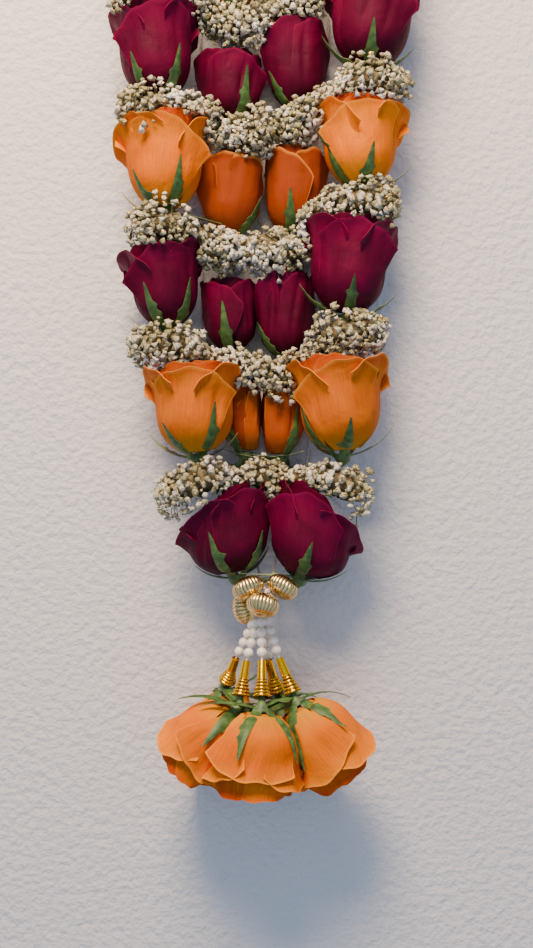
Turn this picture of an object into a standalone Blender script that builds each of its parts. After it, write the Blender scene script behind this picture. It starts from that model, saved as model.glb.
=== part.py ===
"""Rose garland: two strands of roses and baby's breath that meet over a beaded tassel.

The garland lies on its back. X is its width, +Y runs up the strands from the tassel and +Z
faces the viewer. Lengths are in metres, and MM turns the millimetres below into metres.
"""
import math

import bmesh
import bpy
import numpy as np
from mathutils import Matrix, Vector, bvhtree

MM = 0.001

# Where the middle of the garland's box lies in the millimetres that the tables use
CENTRE_X = 0.96
CENTRE_Y = 81.5

# Petals
PETAL_WALL = 0.9 * MM
PETAL_LIP = 0.28         # share of a petal's height that rolls outwards
BOWL_TOP = 0.52          # share of the height where the cup reaches its full width
BOWL_FOOT = 0.26         # width of the cup at its foot, as a share of the full width
BOWL_POWER = 2.2         # how suddenly the bowl ends upright
SPIRAL = 2.1 * MM        # each petal's left edge is tucked in and its right edge stands out
PETAL_ROOT = 0.45        # half width of a petal's root, as a share of the petal's
PETAL_GAP = 0.5 * MM     # kept free between two roses that press on each other
FLOOR_GAP = 0.35 * MM    # under the roses that do not carry the garland

# Calyx, sepals and stems
CUP_RADIUS = 5.0 * MM
STEM_RADIUS = 1.6 * MM
SEPAL_WIDTH = 6.5 * MM
SEPAL_KEEL = 1.1 * MM
CALYX_GAP = 0.45 * MM    # between a rose's foot and its cup
SEPAL_DROP = 1.8 * MM
SEPAL_LENGTH = 27.0 * MM
SEPAL_TURN = 20.0        # degrees that the sepals are turned from the outer petals
SEPAL_CLEARANCE = 1.0 * MM
# Lift from the flower's foot and curl, in radians, in the order that a sepal tries them
SEPAL_BENDS = ((0.1, 0.9), (0.0, 0.5), (-0.2, 0.6), (-0.2, 0.0), (-0.3, -0.6), (-0.5, 0.4))
SEPAL_SHARES = (1.0, 0.8, 0.62, 0.46)
CUP_LENGTH = 6.5 * MM
CUP_SIDES = 6
CUP_WAIST = 0.86
CAPPED_WAIST = 0.6       # under the gold cones

# Baby's breath: a core that runs along each row, with florets raised from it
SPRAY_CORE = 3.0 * MM      # kept free of sepals
SPRAY_SIDES = 10
SPRAY_PITCH = 5.8 * MM     # from one ring of florets to the next
SPRAY_SPREAD = 1.35        # a spray is this much wider than it is thick
SPRAY_VALLEY = 0.6         # depth between florets, as a share of the spray's half thickness
SPRAY_JITTER = 0.12
SPRAY_LIFT = 5.5 * MM      # from the mouths of the roses below to the core
SPRAY_TIP = 3.0 * MM
SPRAY_FALL = 13.0 * MM      # how far the ends of the lowest spray hang down
SPRAY_GAP = 0.45 * MM
SPRAY_SEED = 11

# Beads, pearls, cones and string
BEAD_RADIUS = 8.6 * MM
BEAD_HALF_HEIGHT = 5.4 * MM
BEAD_FLUTES = 8
PEARL_RADIUS = 2.75 * MM
THREAD_RADIUS = 0.6 * MM
CONE_TIP_RADIUS = 2.2 * MM
CONE_BASE_RADIUS = 5.0 * MM
CONE_BORE_RADIUS = 2.2 * MM
CONE_BORE_DEPTH = 6.0 * MM
STRING_RADIUS = 0.9 * MM
STRING_KNOT_RADIUS = 2.6 * MM
CONE_NECK_RADIUS = 2.7 * MM
CONE_NECK = 0.6          # share of a cone's length above its ribs
CONE_RIB = 0.45 * MM
CONE_GROOVES = 3
CONE_SIDES = 8
CONE_STUB = 4.5 * MM     # how far a stem reaches into its cone
CONE_MARGIN = 0.6 * MM   # straight stem below the cone
BEAD_FLUTE_DEPTH = 0.12
KNOT_RADIUS = 2.0 * MM
PEARL_PITCH = 5.6 * MM
PEARL_LEAD = 4.2 * MM          # from a cone's tip to the middle of the first pearl
PEARLS_A_STRING = 4
PEARL_SHOULDER = (0.45, 0.9)   # half height and width of a pearl's flat band, in radii
THREAD_GAP = 0.35 * MM

RED = (0.19, 0.004, 0.028)
ORANGE = (0.82, 0.22, 0.02)
GREEN = (0.07, 0.16, 0.03)
CREAM = (0.62, 0.53, 0.38)
GOLD = (0.80, 0.52, 0.12)
YELLOW_GOLD = (0.86, 0.48, 0.03)
PEARL = (0.85, 0.80, 0.72)
THREAD_WHITE = (0.80, 0.76, 0.68)

# Each rose: foot and mouth in mm (x, y, z), radius at the cup in mm, turn of its petals in
# degrees and how far the outer petals roll out in degrees
ROSES = {
    "row_1_left": ((-17.0, -56.0, 32.0), (-27.0, -8.0, 32.0), 20.5, 30.0, 66.0, RED),
    "row_1_right": ((18.5, -57.0, 32.0), (33.5, -9.0, 32.0), 22.0, -20.0, 70.0, RED),
    "row_2_outer_left": ((-38.5, 10.5, 36.0), (-42.5, 61.0, 37.0), 21.5, 10.0, 78.0, ORANGE),
    "row_2_inner_left": ((-12.5, 12.5, 15.5), (-11.5, 51.0, 15.5), 14.0, 60.0, 20.0, ORANGE),
    "row_2_inner_right": ((7.5, 10.5, 15.5), (5.5, 48.0, 15.5), 14.0, 20.0, 20.0, ORANGE),
    "row_2_outer_right": ((42.0, 11.5, 36.0), (39.5, 65.0, 37.0), 22.0, -10.0, 80.0, ORANGE),
    "row_3_outer_left": ((-54.0, 81.5, 33.0), (-59.5, 127.0, 33.0), 19.0, 25.0, 70.0, RED),
    "row_3_inner_left": ((-20.0, 70.0, 17.0), (-21.5, 110.0, 17.0), 15.5, -30.0, 18.0, RED),
    "row_3_inner_right": ((11.5, 65.5, 17.0), (9.5, 114.0, 17.0), 16.0, 45.0, 18.0, RED),
    "row_3_outer_right": ((44.5, 88.5, 34.0), (47.5, 142.0, 34.0), 20.5, -15.0, 62.0, RED),
    "row_4_outer_left": ((-56.0, 146.5, 34.0), (-57.5, 199.0, 34.0), 20.0, 5.0, 76.0, ORANGE),
    "row_4_inner_left": ((-19.5, 135.5, 18.0), (-20.0, 180.0, 18.0), 16.5, 35.0, 24.0, ORANGE),
    "row_4_inner_right": ((14.5, 135.5, 18.0), (15.5, 184.0, 18.0), 16.0, -25.0, 24.0, ORANGE),
    "row_4_outer_right": ((51.0, 159.5, 34.0), (54.0, 207.0, 34.0), 20.0, -5.0, 76.0, ORANGE),
    "row_5_outer_left": ((-61.0, 208.0, 34.0), (-61.5, 260.0, 34.0), 19.0, 20.0, 64.0, RED),
    "row_5_inner_left": ((-20.0, 199.0, 18.0), (-21.0, 238.0, 18.0), 17.0, 10.0, 22.0, RED),
    "row_5_inner_right": ((17.5, 206.5, 18.0), (16.0, 256.0, 18.0), 16.5, 50.0, 22.0, RED),
    "row_5_outer_right": ((56.5, 225.5, 34.0), (60.5, 277.0, 34.0), 20.5, -20.0, 60.0, RED),
    "row_6_outer_left": ((-64.0, 272.0, 34.0), (-64.5, 322.0, 34.0), 20.0, 15.0, 72.0, ORANGE),
    "row_6_inner_left": ((-21.0, 261.0, 15.8), (-21.5, 303.0, 15.8), 16.5, -15.0, 24.0, ORANGE),
    "row_6_inner_right": ((17.5, 274.0, 15.6), (18.0, 318.0, 15.6), 16.5, 30.0, 24.0, ORANGE),
    "row_6_outer_right": ((62.0, 290.5, 34.0), (64.5, 340.0, 34.0), 20.0, -10.0, 72.0, ORANGE),
    "tassel_front": ((-3.0, -127.0, 62.0), (-8.0, -172.0, 64.5), 23.5, 0.0, 60.0, ORANGE),
    "tassel_right": ((17.0, -125.5, 50.0), (40.0, -166.0, 47.0), 21.5, 10.0, 46.0, ORANGE),
    "tassel_left": ((-16.4, -128.4, 52.8), (-43.5, -163.0, 46.0), 20.5, -10.0, 46.0, ORANGE),
    "tassel_back_left": ((-23.5, -122.5, 23.0), (-21.0, -175.0, 18.6), 21.0, 20.0, 42.0, ORANGE),
    "tassel_back_right": ((7.5, -127.0, 24.5), (20.0, -172.0, 19.3), 21.0, -15.0, 42.0, ORANGE),
}
ROW_PLACES = ("outer_left", "inner_left", "inner_right", "outer_right")
GROUPS = ("row_1", "row_2", "row_3", "row_4", "row_5", "row_6", "tassel")
# Roses that carry the garland: how far below the floor in mm their petals reach before the cut
SEATED = {
    "row_6_inner_left": -4.0,
    "row_6_inner_right": -4.0,
    "tassel_back_left": -1.2,
    "tassel_back_right": -2.0,
}

# Roses whose mouth drops to one side: share of the height, below 0 to the left
MOUTH_DROPS = {"row_1_left": -0.3, "row_1_right": 0.36}

# Where the stems of each row, from row 2 up, are tied beside the string of their strand, in mm
STRING_TIES = {
    "left": ((-27.0, 3.0, 5.9), (-35.4, 68.0, 5.9), (-35.4, 134.0, 5.9), (-36.4, 205.0, 5.9),
             (-36.4, 265.0, 5.9)),
    "right": ((21.0, 3.0, 5.9), (27.4, 73.0, 5.9), (31.4, 148.0, 5.9), (33.4, 213.0, 5.9),
              (34.4, 281.0, 5.9)),
}

# The string of each strand from the beads to the top, beside its ties, in mm
STRING_LEFT = ((-1.0, -62.8, 47.9), (-3.2, -59.5, 36.0), (-6.0, -50.0, 12.0), (-16.0, -26.0, 4.0),
               (-28.5, 3.0, 3.4), (-37.0, 64.5, 3.4), (-37.0, 131.0, 3.4), (-38.0, 205.0, 3.4),
               (-38.0, 264.0, 3.4), (-38.0, 304.0, 3.4), (-18.0, 324.0, 3.4))
STRING_RIGHT = ((2.0, -62.7, 47.9), (3.7, -59.5, 36.0), (5.0, -50.0, 12.0), (12.0, -26.0, 4.0),
                (22.5, 3.0, 3.4), (29.0, 69.0, 3.4), (33.0, 148.0, 3.4), (35.0, 213.0, 3.4),
                (36.0, 280.0, 3.4), (35.0, 314.0, 3.4), (18.0, 328.0, 3.4))
STRING_KNOT = (0.0, 330.0, 3.6)
ROW_1_TIE = (0.0, -59.4, 27.5)

# Tassel: the tip and base of each cone in mm, round the ring from the back left
CONES = {
    "back_left": ((-17.0, -102.5, 36.5), (-22.0, -116.0, 29.0)),
    "left": ((-11.0, -102.5, 46.5), (-14.0, -121.0, 52.0)),
    "front": ((-2.5, -101.5, 52.0), (-2.5, -120.5, 60.0)),
    "right": ((7.0, -101.0, 45.5), (14.5, -119.5, 49.0)),
    "back_right": ((1.0, -103.5, 37.0), (5.5, -121.0, 28.0)),
}
# Beads: the middle of each in mm and what its thread is tied to
KNOT = (0.5, -64.0, 50.0)
FAN = (-3.0, -73.0, 41.0)
BEADS = {
    "upper_left": ((-11.0, -62.5, 47.0), "knot"),
    "upper_right": ((11.0, -62.0, 47.0), "knot"),
    "lower_front": ((-2.0, -73.0, 56.0), "knot"),
    "lower_left": ((-12.5, -75.0, 31.5), "fan"),
}

# Petals of a full rose and of a smaller inner rose: turn, half width in degrees, width as a
# share of the cup's, height as a share of the rose's, share of the rose's outward roll, how
# far one edge stands out from the other as a share of SPIRAL, cells across, rows
FULL_PETALS = (
    (60.0, 118.0, 0.74, 1.00, 0.30, 0.4, 4, 2),
    (0.0, 65.0, 1.00, 0.97, 0.80, 1.0, 3, 3),
    (121.0, 63.0, 1.00, 0.95, 1.00, 1.0, 3, 2),
    (240.0, 63.0, 1.00, 0.93, 1.10, 1.0, 3, 2),
)
INNER_PETALS = (
    (0.0, 96.0, 1.00, 0.99, 0.90, 1.0, 4, 2),
    (180.0, 96.0, 1.00, 0.95, 1.00, 1.0, 4, 2),
)
PETAL_ROWS = {2: (0.14, 0.58, 1.0), 3: (0.14, 0.42, 0.78, 1.0)}

# The heart's outline: share of the rose's height, radius as a share of the cup's
HEART_RINGS = ((0.0, 0.26), (0.06, 0.5), (0.17, 0.68), (0.17, 0.24), (0.7, 0.44), (0.93, 0.2))


def clear_scene():
    for old in list(bpy.data.objects):
        bpy.data.objects.remove(old)


def material(name, colour, roughness, metallic=0.0):
    made = bpy.data.materials.get(name)
    if made is None:
        made = bpy.data.materials.new(name)
        made.use_nodes = True
        shader = made.node_tree.nodes["Principled BSDF"]
        shader.inputs["Base Color"].default_value = (*colour, 1.0)
        shader.inputs["Roughness"].default_value = roughness
        shader.inputs["Metallic"].default_value = metallic
    return made


def point(x, y, z):
    """A place given in mm, in the garland's own frame."""
    return Vector(((x - CENTRE_X) * MM, (y - CENTRE_Y) * MM, z * MM))


def new_object(name, mesh, matrix=None):
    made = bpy.data.objects.new(name, mesh)
    garland.objects.link(made)
    if matrix is not None:
        made.matrix_world = matrix
    return made


def mesh_from_bmesh(name, form):
    mesh = bpy.data.meshes.new(name)
    form.to_mesh(mesh)
    form.free()
    return mesh


def sheet_mesh(name, points, root):
    """An open sheet from a grid of points, columns first, that narrows to a root of two."""
    columns, rows = points.shape[:2]
    index = np.arange(columns * rows).reshape(columns, rows)
    quads = np.stack((index[:-1, :-1], index[1:, :-1], index[1:, 1:], index[:-1, 1:]), axis=-1)
    left, right = columns * rows, columns * rows + 1
    half = columns // 2
    fan = [(left, right, index[half, 0])]
    for column in range(columns - 1):
        fan.append((left if column < half else right, index[column + 1, 0], index[column, 0]))
    mesh = bpy.data.meshes.new(name)
    places = np.concatenate((points.reshape(-1, 3), root)).tolist()
    mesh.from_pydata(places, [], quads.reshape(-1, 4).tolist() + fan)
    return mesh


def applied(obj):
    """Replace an object's mesh by the one that its modifiers give."""
    bpy.context.view_layer.update()
    depsgraph = bpy.context.evaluated_depsgraph_get()
    mesh = bpy.data.meshes.new_from_object(obj.evaluated_get(depsgraph), depsgraph=depsgraph)
    obj.modifiers.clear()
    obj.data = mesh
    return obj


def fuse(target, pieces):
    """Join loose pieces to a target in one Boolean union, and remove the pieces."""
    batch = bpy.data.collections.new("pieces_of_" + target.name)
    bpy.context.scene.collection.children.link(batch)
    for piece in pieces:
        batch.objects.link(piece)
        garland.objects.unlink(piece)
    union = target.modifiers.new("union", "BOOLEAN")
    union.operation = "UNION"
    union.operand_type = "COLLECTION"
    union.collection = batch
    union.solver = "MANIFOLD"
    applied(target)
    for piece in list(batch.objects):
        bpy.data.objects.remove(piece)
    bpy.data.collections.remove(batch)
    keep_outer_shell(target)
    return target


def shell_volume(faces):
    """Signed volume inside a closed shell of faces."""
    total = 0.0
    for face in faces:
        corners = [loop.vert.co for loop in face.loops]
        for second, third in zip(corners[1:], corners[2:]):
            total += corners[0].dot(second.cross(third)) / 6.0
    return total


def keep_outer_shell(obj):
    """Fill the hollows that a union has sealed and drop its loose scraps."""
    form = bmesh.new()
    form.from_mesh(obj.data)
    unseen = set(form.faces)
    shells = []
    while unseen:
        front = [unseen.pop()]
        shell = []
        while front:
            face = front.pop()
            shell.append(face)
            for edge in face.edges:
                for neighbour in edge.link_faces:
                    if neighbour in unseen:
                        unseen.remove(neighbour)
                        front.append(neighbour)
        shells.append(shell)
    shells.sort(key=shell_volume)
    for shell in shells[:-1]:
        bmesh.ops.delete(form, geom=shell, context="FACES")
    loose = [vert for vert in form.verts if not vert.link_faces]
    bmesh.ops.delete(form, geom=loose, context="VERTS")
    form.to_mesh(obj.data)
    form.free()


def cut(target, cutter):
    difference = target.modifiers.new("cut", "BOOLEAN")
    difference.operation = "DIFFERENCE"
    difference.object = cutter
    difference.solver = "MANIFOLD"
    applied(target)
    keep_outer_shell(target)
    return target


def tube(name, points, radii, sides=6):
    """A round bar through a list of points, as a closed mesh with welded caps."""
    curve = bpy.data.curves.new(name, "CURVE")
    curve.dimensions = "3D"
    curve.bevel_depth = 1.0
    curve.bevel_resolution = (sides - 4) // 2
    curve.use_fill_caps = True
    spline = curve.splines.new("POLY")
    spline.points.add(len(points) - 1)
    for knot, place, radius in zip(spline.points, points, radii):
        knot.co = (*place, 1.0)
        knot.radius = radius
    route = new_object(name, curve)
    bpy.context.view_layer.update()
    depsgraph = bpy.context.evaluated_depsgraph_get()
    mesh = bpy.data.meshes.new_from_object(route.evaluated_get(depsgraph), depsgraph=depsgraph)
    bpy.data.objects.remove(route)
    form = bmesh.new()
    form.from_mesh(mesh)
    bmesh.ops.remove_doubles(form, verts=form.verts, dist=1e-6)
    form.to_mesh(mesh)
    form.free()
    return new_object(name, mesh)


def smooth_route(points, steps):
    """Points on a Catmull-Rom curve through the given ones."""
    ends = [2 * points[0] - points[1], *points, 2 * points[-1] - points[-2]]
    route = []
    for a, b, c, d in zip(ends, ends[1:], ends[2:], ends[3:]):
        for step in range(steps):
            t = step / steps
            route.append(0.5 * (2 * b + (c - a) * t + (2 * a - 5 * b + 4 * c - d) * t ** 2
                                + (3 * b - a - 3 * c + d) * t ** 3))
    route.append(points[-1])
    return route


class Rose:
    """Foot, axis and size of one rose, with the planes that its neighbours press on it."""

    def __init__(self, name, foot, mouth, radius, turn, roll, colour):
        self.name = name
        self.foot = point(*foot)
        self.mouth = point(*mouth)
        self.axis = (self.mouth - self.foot).normalized()
        self.length = (self.mouth - self.foot).length
        self.radius = radius * MM
        self.turn = math.radians(turn)
        self.roll = math.radians(roll)
        self.drop = MOUTH_DROPS.get(name, 0.0)
        self.colour = colour
        up = Vector((0.0, 0.0, 1.0))
        self.front = (up - self.axis * up.dot(self.axis)).normalized()
        self.side = self.axis.cross(self.front)
        self.full = "inner" not in name
        self.petals = FULL_PETALS if self.full else INNER_PETALS
        floor = SEATED[name] * MM if name in SEATED else FLOOR_GAP
        self.planes = [(Vector((0.0, 0.0, floor)), Vector((0.0, 0.0, -1.0)))]

    def matrix(self):
        """Local X faces the viewer, local Y goes round to the side and local Z is the axis."""
        turn = Matrix((self.front, self.side, self.axis)).transposed()
        return Matrix.Translation(self.foot) @ turn.to_4x4()

    def middle(self):
        return self.foot + self.axis * self.length * 0.65

    def mouth_share(self, angle):
        """Height left on the side to which the mouth drops."""
        low_side = (0.5 + 0.5 * math.copysign(1.0, self.drop * self.axis.y) * np.sin(angle)) ** 2
        return 1.0 - abs(self.drop) * low_side

    def press(self, other):
        """A rose keeps to its own side of a plane between it and its neighbour."""
        apart = other.middle() - self.middle()
        mean_axis = (self.axis + other.axis).normalized()
        apart -= mean_axis * apart.dot(mean_axis)
        share = self.radius / (self.radius + other.radius)
        normal = apart.normalized()
        place = self.middle() + apart * share - normal * PETAL_GAP / 2
        self.planes.append((place, normal))

    def envelope(self, height):
        """Largest radius of the rose at a share of its height."""
        lip = np.clip((height - 1.0 + PETAL_LIP) / PETAL_LIP, 0.0, 1.0)
        roll = self.roll * 1.15
        out = PETAL_LIP * self.length * (1 - np.cos(roll * lip)) / roll
        return self.radius * bowl(height) + SPIRAL + out

    def squeeze(self, angle, radius, height):
        """Draw the radius in where a pressing plane is nearer than the rose's envelope."""
        envelope = self.envelope(np.clip(height / self.length, 0.0, 1.0))
        factor = np.ones_like(radius)
        for place, normal in self.planes:
            local_place = place - self.foot
            along = normal.dot(self.axis)
            across = normal.dot(self.front) * np.cos(angle) + normal.dot(self.side) * np.sin(angle)
            room = local_place.dot(normal) - along * height
            reach = np.where(across > 0.05, room / np.maximum(across, 0.05), 1.0)
            factor = np.minimum(factor, np.clip(reach / envelope, 0.12, 1.0))
        return radius * factor


def bowl(share):
    """Width of the cup at a share of the height: a rounded bowl that ends upright."""
    rise = np.clip(1.0 - share / BOWL_TOP, 0.0, 1.0)
    return 1.0 - (1.0 - BOWL_FOOT) * rise ** BOWL_POWER


def petal_points(rose, petal, across, along):
    """Points of a petal: bowl-shaped up to its lip, which rolls out on an arc."""
    turn, half_width, width, height, roll_share, spiral = petal[:6]
    u, v = np.meshgrid(across, along, indexing="ij")
    share = v * height * (1.0 - 0.24 * np.abs(u) ** 2.2)
    spread = 0.62 + 0.38 * np.sin(np.clip(share / 0.5, 0.0, 1.0) * math.pi / 2)
    angle = rose.turn + math.radians(turn) + math.radians(half_width) * u * spread
    lip = np.clip((share - 1.0 + PETAL_LIP) / PETAL_LIP, 0.0, 1.0)
    roll = max(rose.roll * roll_share, 0.05)
    lip_length = PETAL_LIP * rose.length
    rooted = 0.8 + 0.2 * np.clip((share - 0.14) / 0.16, 0.0, 1.0)
    tuck = SPIRAL * spiral * u * (0.2 + 0.8 * np.clip((share - 0.14) / 0.4, 0.0, 1.0))
    radius = rose.radius * width * rooted * bowl(share) + tuck
    radius = radius + lip_length * (1.0 - np.cos(roll * lip)) / roll
    rise = rose.length * np.minimum(share, 1.0 - PETAL_LIP)
    rise = rise + lip_length * np.sin(roll * lip) / roll
    rise = rise * rose.mouth_share(angle)
    radius = rose.squeeze(angle, radius, rise)
    return np.stack((radius * np.cos(angle), radius * np.sin(angle), rise), axis=-1)


def make_petal(rose, petal):
    """A petal's sheet with a wall, whose narrow root stands in the heart's foot."""
    cells, rows = petal[6:]
    root_height, *heights = PETAL_ROWS[rows]
    blade = petal_points(rose, petal, np.linspace(-1.0, 1.0, cells + 1), np.array(heights))
    root = petal_points(rose, petal, np.array((-PETAL_ROOT, PETAL_ROOT)), np.array((root_height,)))
    made = new_object("petal", sheet_mesh("petal", blade, root[:, 0]), rose.matrix())
    wall = made.modifiers.new("wall", "SOLIDIFY")
    wall.thickness = PETAL_WALL
    wall.offset = -1.0
    wall.use_even_offset = False
    return applied(made)


def make_heart(rose):
    """The rolled heart of a rose: a bud whose foot holds the roots of all the petals."""
    sides = 6
    rows = []
    for share, width in HEART_RINGS:
        angle = np.arange(sides) * 2 * math.pi / sides + rose.turn + share * 1.2
        radius = np.full(sides, rose.radius * width)
        radius = rose.squeeze(angle, radius, np.full(sides, share * rose.length))
        height = np.full(sides, share * rose.length)
        rows.append(np.stack((radius * np.cos(angle), radius * np.sin(angle), height), axis=-1))
    form = bmesh.new()
    loops = [[form.verts.new(place) for place in row] for row in rows]
    for low, high in zip(loops, loops[1:]):
        for i in range(sides):
            j = (i + 1) % sides
            form.faces.new((low[i], low[j], high[j], high[i]))
    form.faces.new(reversed(loops[0]))
    form.faces.new(loops[-1])
    return new_object(rose.name + "_rose", mesh_from_bmesh("heart", form), rose.matrix())


def make_rose(rose, floor):
    made = make_heart(rose)
    fuse(made, [make_petal(rose, petal) for petal in rose.petals])
    if rose.name in SEATED:
        cut(made, floor)
    name = "red_rose_petal" if rose.colour == RED else "orange_rose_petal"
    made.data.materials.clear()
    made.data.materials.append(material(name, rose.colour, 0.55))
    return made


def press_neighbours(roses):
    for group in GROUPS:
        members = [rose for rose in roses.values() if rose.name.startswith(group)]
        for rose in members:
            for other in members:
                if other is not rose:
                    rose.press(other)


def make_floor():
    """A slab just under the garland that cuts the flats it rests on."""
    form = bmesh.new()
    bmesh.ops.create_cube(form, size=1.0)
    bmesh.ops.scale(form, vec=(0.4, 1.0, 0.1), verts=form.verts)
    bmesh.ops.translate(form, vec=(0.0, 0.0, -0.05), verts=form.verts)
    slab = bpy.data.objects.new("floor_cutter", mesh_from_bmesh("floor_cutter", form))
    cutters.objects.link(slab)
    slab.hide_render = True
    slab.display_type = "WIRE"
    return slab


def closed_loft(name, rings, tip):
    """A spike whose rings of points are joined, closed by its foot and by its tip."""
    form = bmesh.new()
    loops = [[form.verts.new(place) for place in ring] for ring in rings]
    sides = len(rings[0])
    for low, high in zip(loops, loops[1:]):
        for i in range(sides):
            form.faces.new((low[i], low[(i + 1) % sides], high[(i + 1) % sides], high[i]))
    peak = form.verts.new(tip)
    for i in range(sides):
        form.faces.new((loops[-1][i], loops[-1][(i + 1) % sides], peak))
    form.faces.new(reversed(loops[0]))
    bmesh.ops.recalc_face_normals(form, faces=form.faces)
    return new_object(name, mesh_from_bmesh(name, form))


def sepal_blade(root, middle, tip, outward, width):
    """A three-sided blade: flat towards the flower, with a keel along its back."""
    run = (tip - root).normalized()
    across = run.cross(outward).normalized()
    keel = across.cross(run).normalized() * SEPAL_KEEL
    rings = []
    for place, share in ((root, 0.62), (middle, 1.0)):
        half = across * width * share / 2
        rings.append((place - half, place + half, place - keel))
    return closed_loft("sepal", rings, tip)


def sepal_route(rose, angle, length, lift, curl):
    """Root, middle and tip of a sepal that leaves the cup and bends on an arc."""
    out = rose.front * math.cos(angle) + rose.side * math.sin(angle)
    places = []
    for share in (0.0, 0.5, 1.0):
        run = length * share
        if abs(curl) < 1e-3:
            along, rise = run * math.cos(lift), run * math.sin(lift)
        else:
            bend = curl * share
            along = length * (math.sin(lift + bend) - math.sin(lift)) / curl
            rise = length * (math.cos(lift) - math.cos(lift + bend)) / curl
        foot = rose.foot + out * (CUP_RADIUS * 0.7) - rose.axis * SEPAL_DROP
        places.append(foot + out * along + rose.axis * rise)
    return places, out


def clearance(places, trees):
    """Distance from a few points to the nearest surface of the trees."""
    nearest = 1.0
    for tree in trees:
        for place in places:
            found = tree.find_nearest(place, nearest)
            if found[0] is not None:
                nearest = min(nearest, found[3])
    return nearest


def blade_samples(root, middle, tip, width, out):
    """Points along a blade's middle and its two edges."""
    across = (tip - root).cross(out).normalized()
    samples = []
    for step in range(1, 14):
        share = step / 13
        if share < 0.5:
            place = root.lerp(middle, share * 2)
        else:
            place = middle.lerp(tip, share * 2 - 1)
        half = across * width / 2 * min(1.0, 2.2 * (1.0 - share))
        samples += [place, place + half, place - half]
    return samples


def make_sepal(rose, angle, length, trees):
    """A sepal in the first of a few bends that keeps clear of what is round it."""
    for length_share in SEPAL_SHARES:
        for lift, curl in SEPAL_BENDS:
            places, out = sepal_route(rose, angle, length * length_share, lift, curl)
            samples = blade_samples(*places, SEPAL_WIDTH, out)
            if min(place.z for place in samples) < FLOOR_GAP + SEPAL_KEEL:
                continue
            if clearance(samples, trees) > SEPAL_CLEARANCE:
                return sepal_blade(*places, rose.axis, SEPAL_WIDTH)
    return None


def stem_bend(rose, tie):
    """Where a stem that leaves the cup straight turns towards its tie."""
    return (rose.foot - rose.axis * CUP_LENGTH).lerp(tie, 0.2)


def cup_and_stem(rose, bend, tie):
    """The cup under a rose, which narrows to a short stem that ends at its tie."""
    waist = CAPPED_WAIST if rose.name.startswith("tassel") else CUP_WAIST
    top = rose.foot - rose.axis * CALYX_GAP
    places = [top, rose.foot - rose.axis * CUP_LENGTH * 0.45, bend, tie]
    radii = [CUP_RADIUS, CUP_RADIUS * waist, STEM_RADIUS, STEM_RADIUS]
    return tube("cup", places, radii, CUP_SIDES)


def make_green(name, members, stems, trees, links=()):
    """Cups, sepals and stems of a few roses, joined where their stems or sepals meet."""
    pieces = [stems[rose.name][0] for rose in members]
    for rose in members:
        around = trees + [tree for owner, (_, tree) in stems.items() if owner != rose.name]
        count = 5 if rose.full and "back" not in rose.name else 3
        for k in range(count):
            angle = rose.turn + math.radians(k * 360.0 / count + SEPAL_TURN)
            length = SEPAL_LENGTH * (1.0 + 0.18 * math.sin(2.4 * k + rose.turn * 7))
            blade = make_sepal(rose, angle, length, around)
            if blade is not None:
                pieces.append(blade)
    for one, other in links:
        drop = CUP_LENGTH * 0.5
        start = one.foot - one.axis * drop
        end = other.foot - other.axis * drop
        middle = start.lerp(end, 0.5) - (one.axis + other.axis) * 0.8 * MM
        pieces.append(sepal_blade(start, middle, end, one.axis, SEPAL_WIDTH))
    made = pieces[0]
    made.name = name
    fuse(made, pieces[1:])
    made.data.materials.clear()
    made.data.materials.append(material("rose_calyx", GREEN, 0.6))
    return made


def tree_of(obj):
    bpy.context.view_layer.update()
    matrix = obj.matrix_world
    places = [matrix @ vert.co for vert in obj.data.vertices]
    return bvhtree.BVHTree.FromPolygons(places, [tuple(face.vertices) for face in obj.data.polygons])


def spray_stops(above, below):
    """Centre and half thickness of a spray between two rows, in front of the upper stems."""
    outer_left, inner_left, inner_right, outer_right = (rose.foot for rose in above)
    left_gap = outer_left.lerp(inner_left, 0.5)
    right_gap = outer_right.lerp(inner_right, 0.5)
    middle = inner_left.lerp(inner_right, 0.5)
    mouths = [rose.mouth.y for rose in below]
    fall = SPRAY_FALL if above[0].name.startswith("row_2") else 0.0
    stops = (
        (outer_left, -18.0, -7.0, 3.0, 6.0, mouths[0] - fall),
        (outer_left, -8.0, -8.0, 10.0, 9.5, mouths[0] - fall * 0.4),
        (outer_left, 4.0, -8.5, 11.0, 10.0, mouths[0]),
        (left_gap, 0.0, -9.0, 10.0, 6.5, max(mouths[:2])),
        (inner_left, 0.0, -8.5, 11.0, 9.0, mouths[1]),
        (middle, 0.0, -8.0, 11.0, 10.0, max(mouths[1:3])),
        (inner_right, 0.0, -8.5, 11.0, 9.0, mouths[2]),
        (right_gap, 0.0, -9.0, 10.0, 6.5, max(mouths[2:])),
        (outer_right, -4.0, -8.5, 11.0, 10.0, mouths[3]),
        (outer_right, 8.0, -8.0, 10.0, 9.5, mouths[3] - fall * 0.4),
        (outer_right, 18.0, -7.0, 3.0, 6.0, mouths[3] - fall),
    )
    places = []
    for anchor, x, y, z, _, mouth in stops:
        place = anchor + Vector((x, y, z)) * MM
        place.y = max(place.y - fall, mouth + SPRAY_LIFT)
        places.append(place)
    return places, [stop[4] * MM for stop in stops]


def spray_core(above, below):
    """The slim middle of a spray, which the sepals keep clear of."""
    places, _ = spray_stops(above, below)
    core = tube("core", places, [SPRAY_CORE] * len(places), CUP_SIDES)
    tree = tree_of(core)
    bpy.data.objects.remove(core)
    return tree


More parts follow.
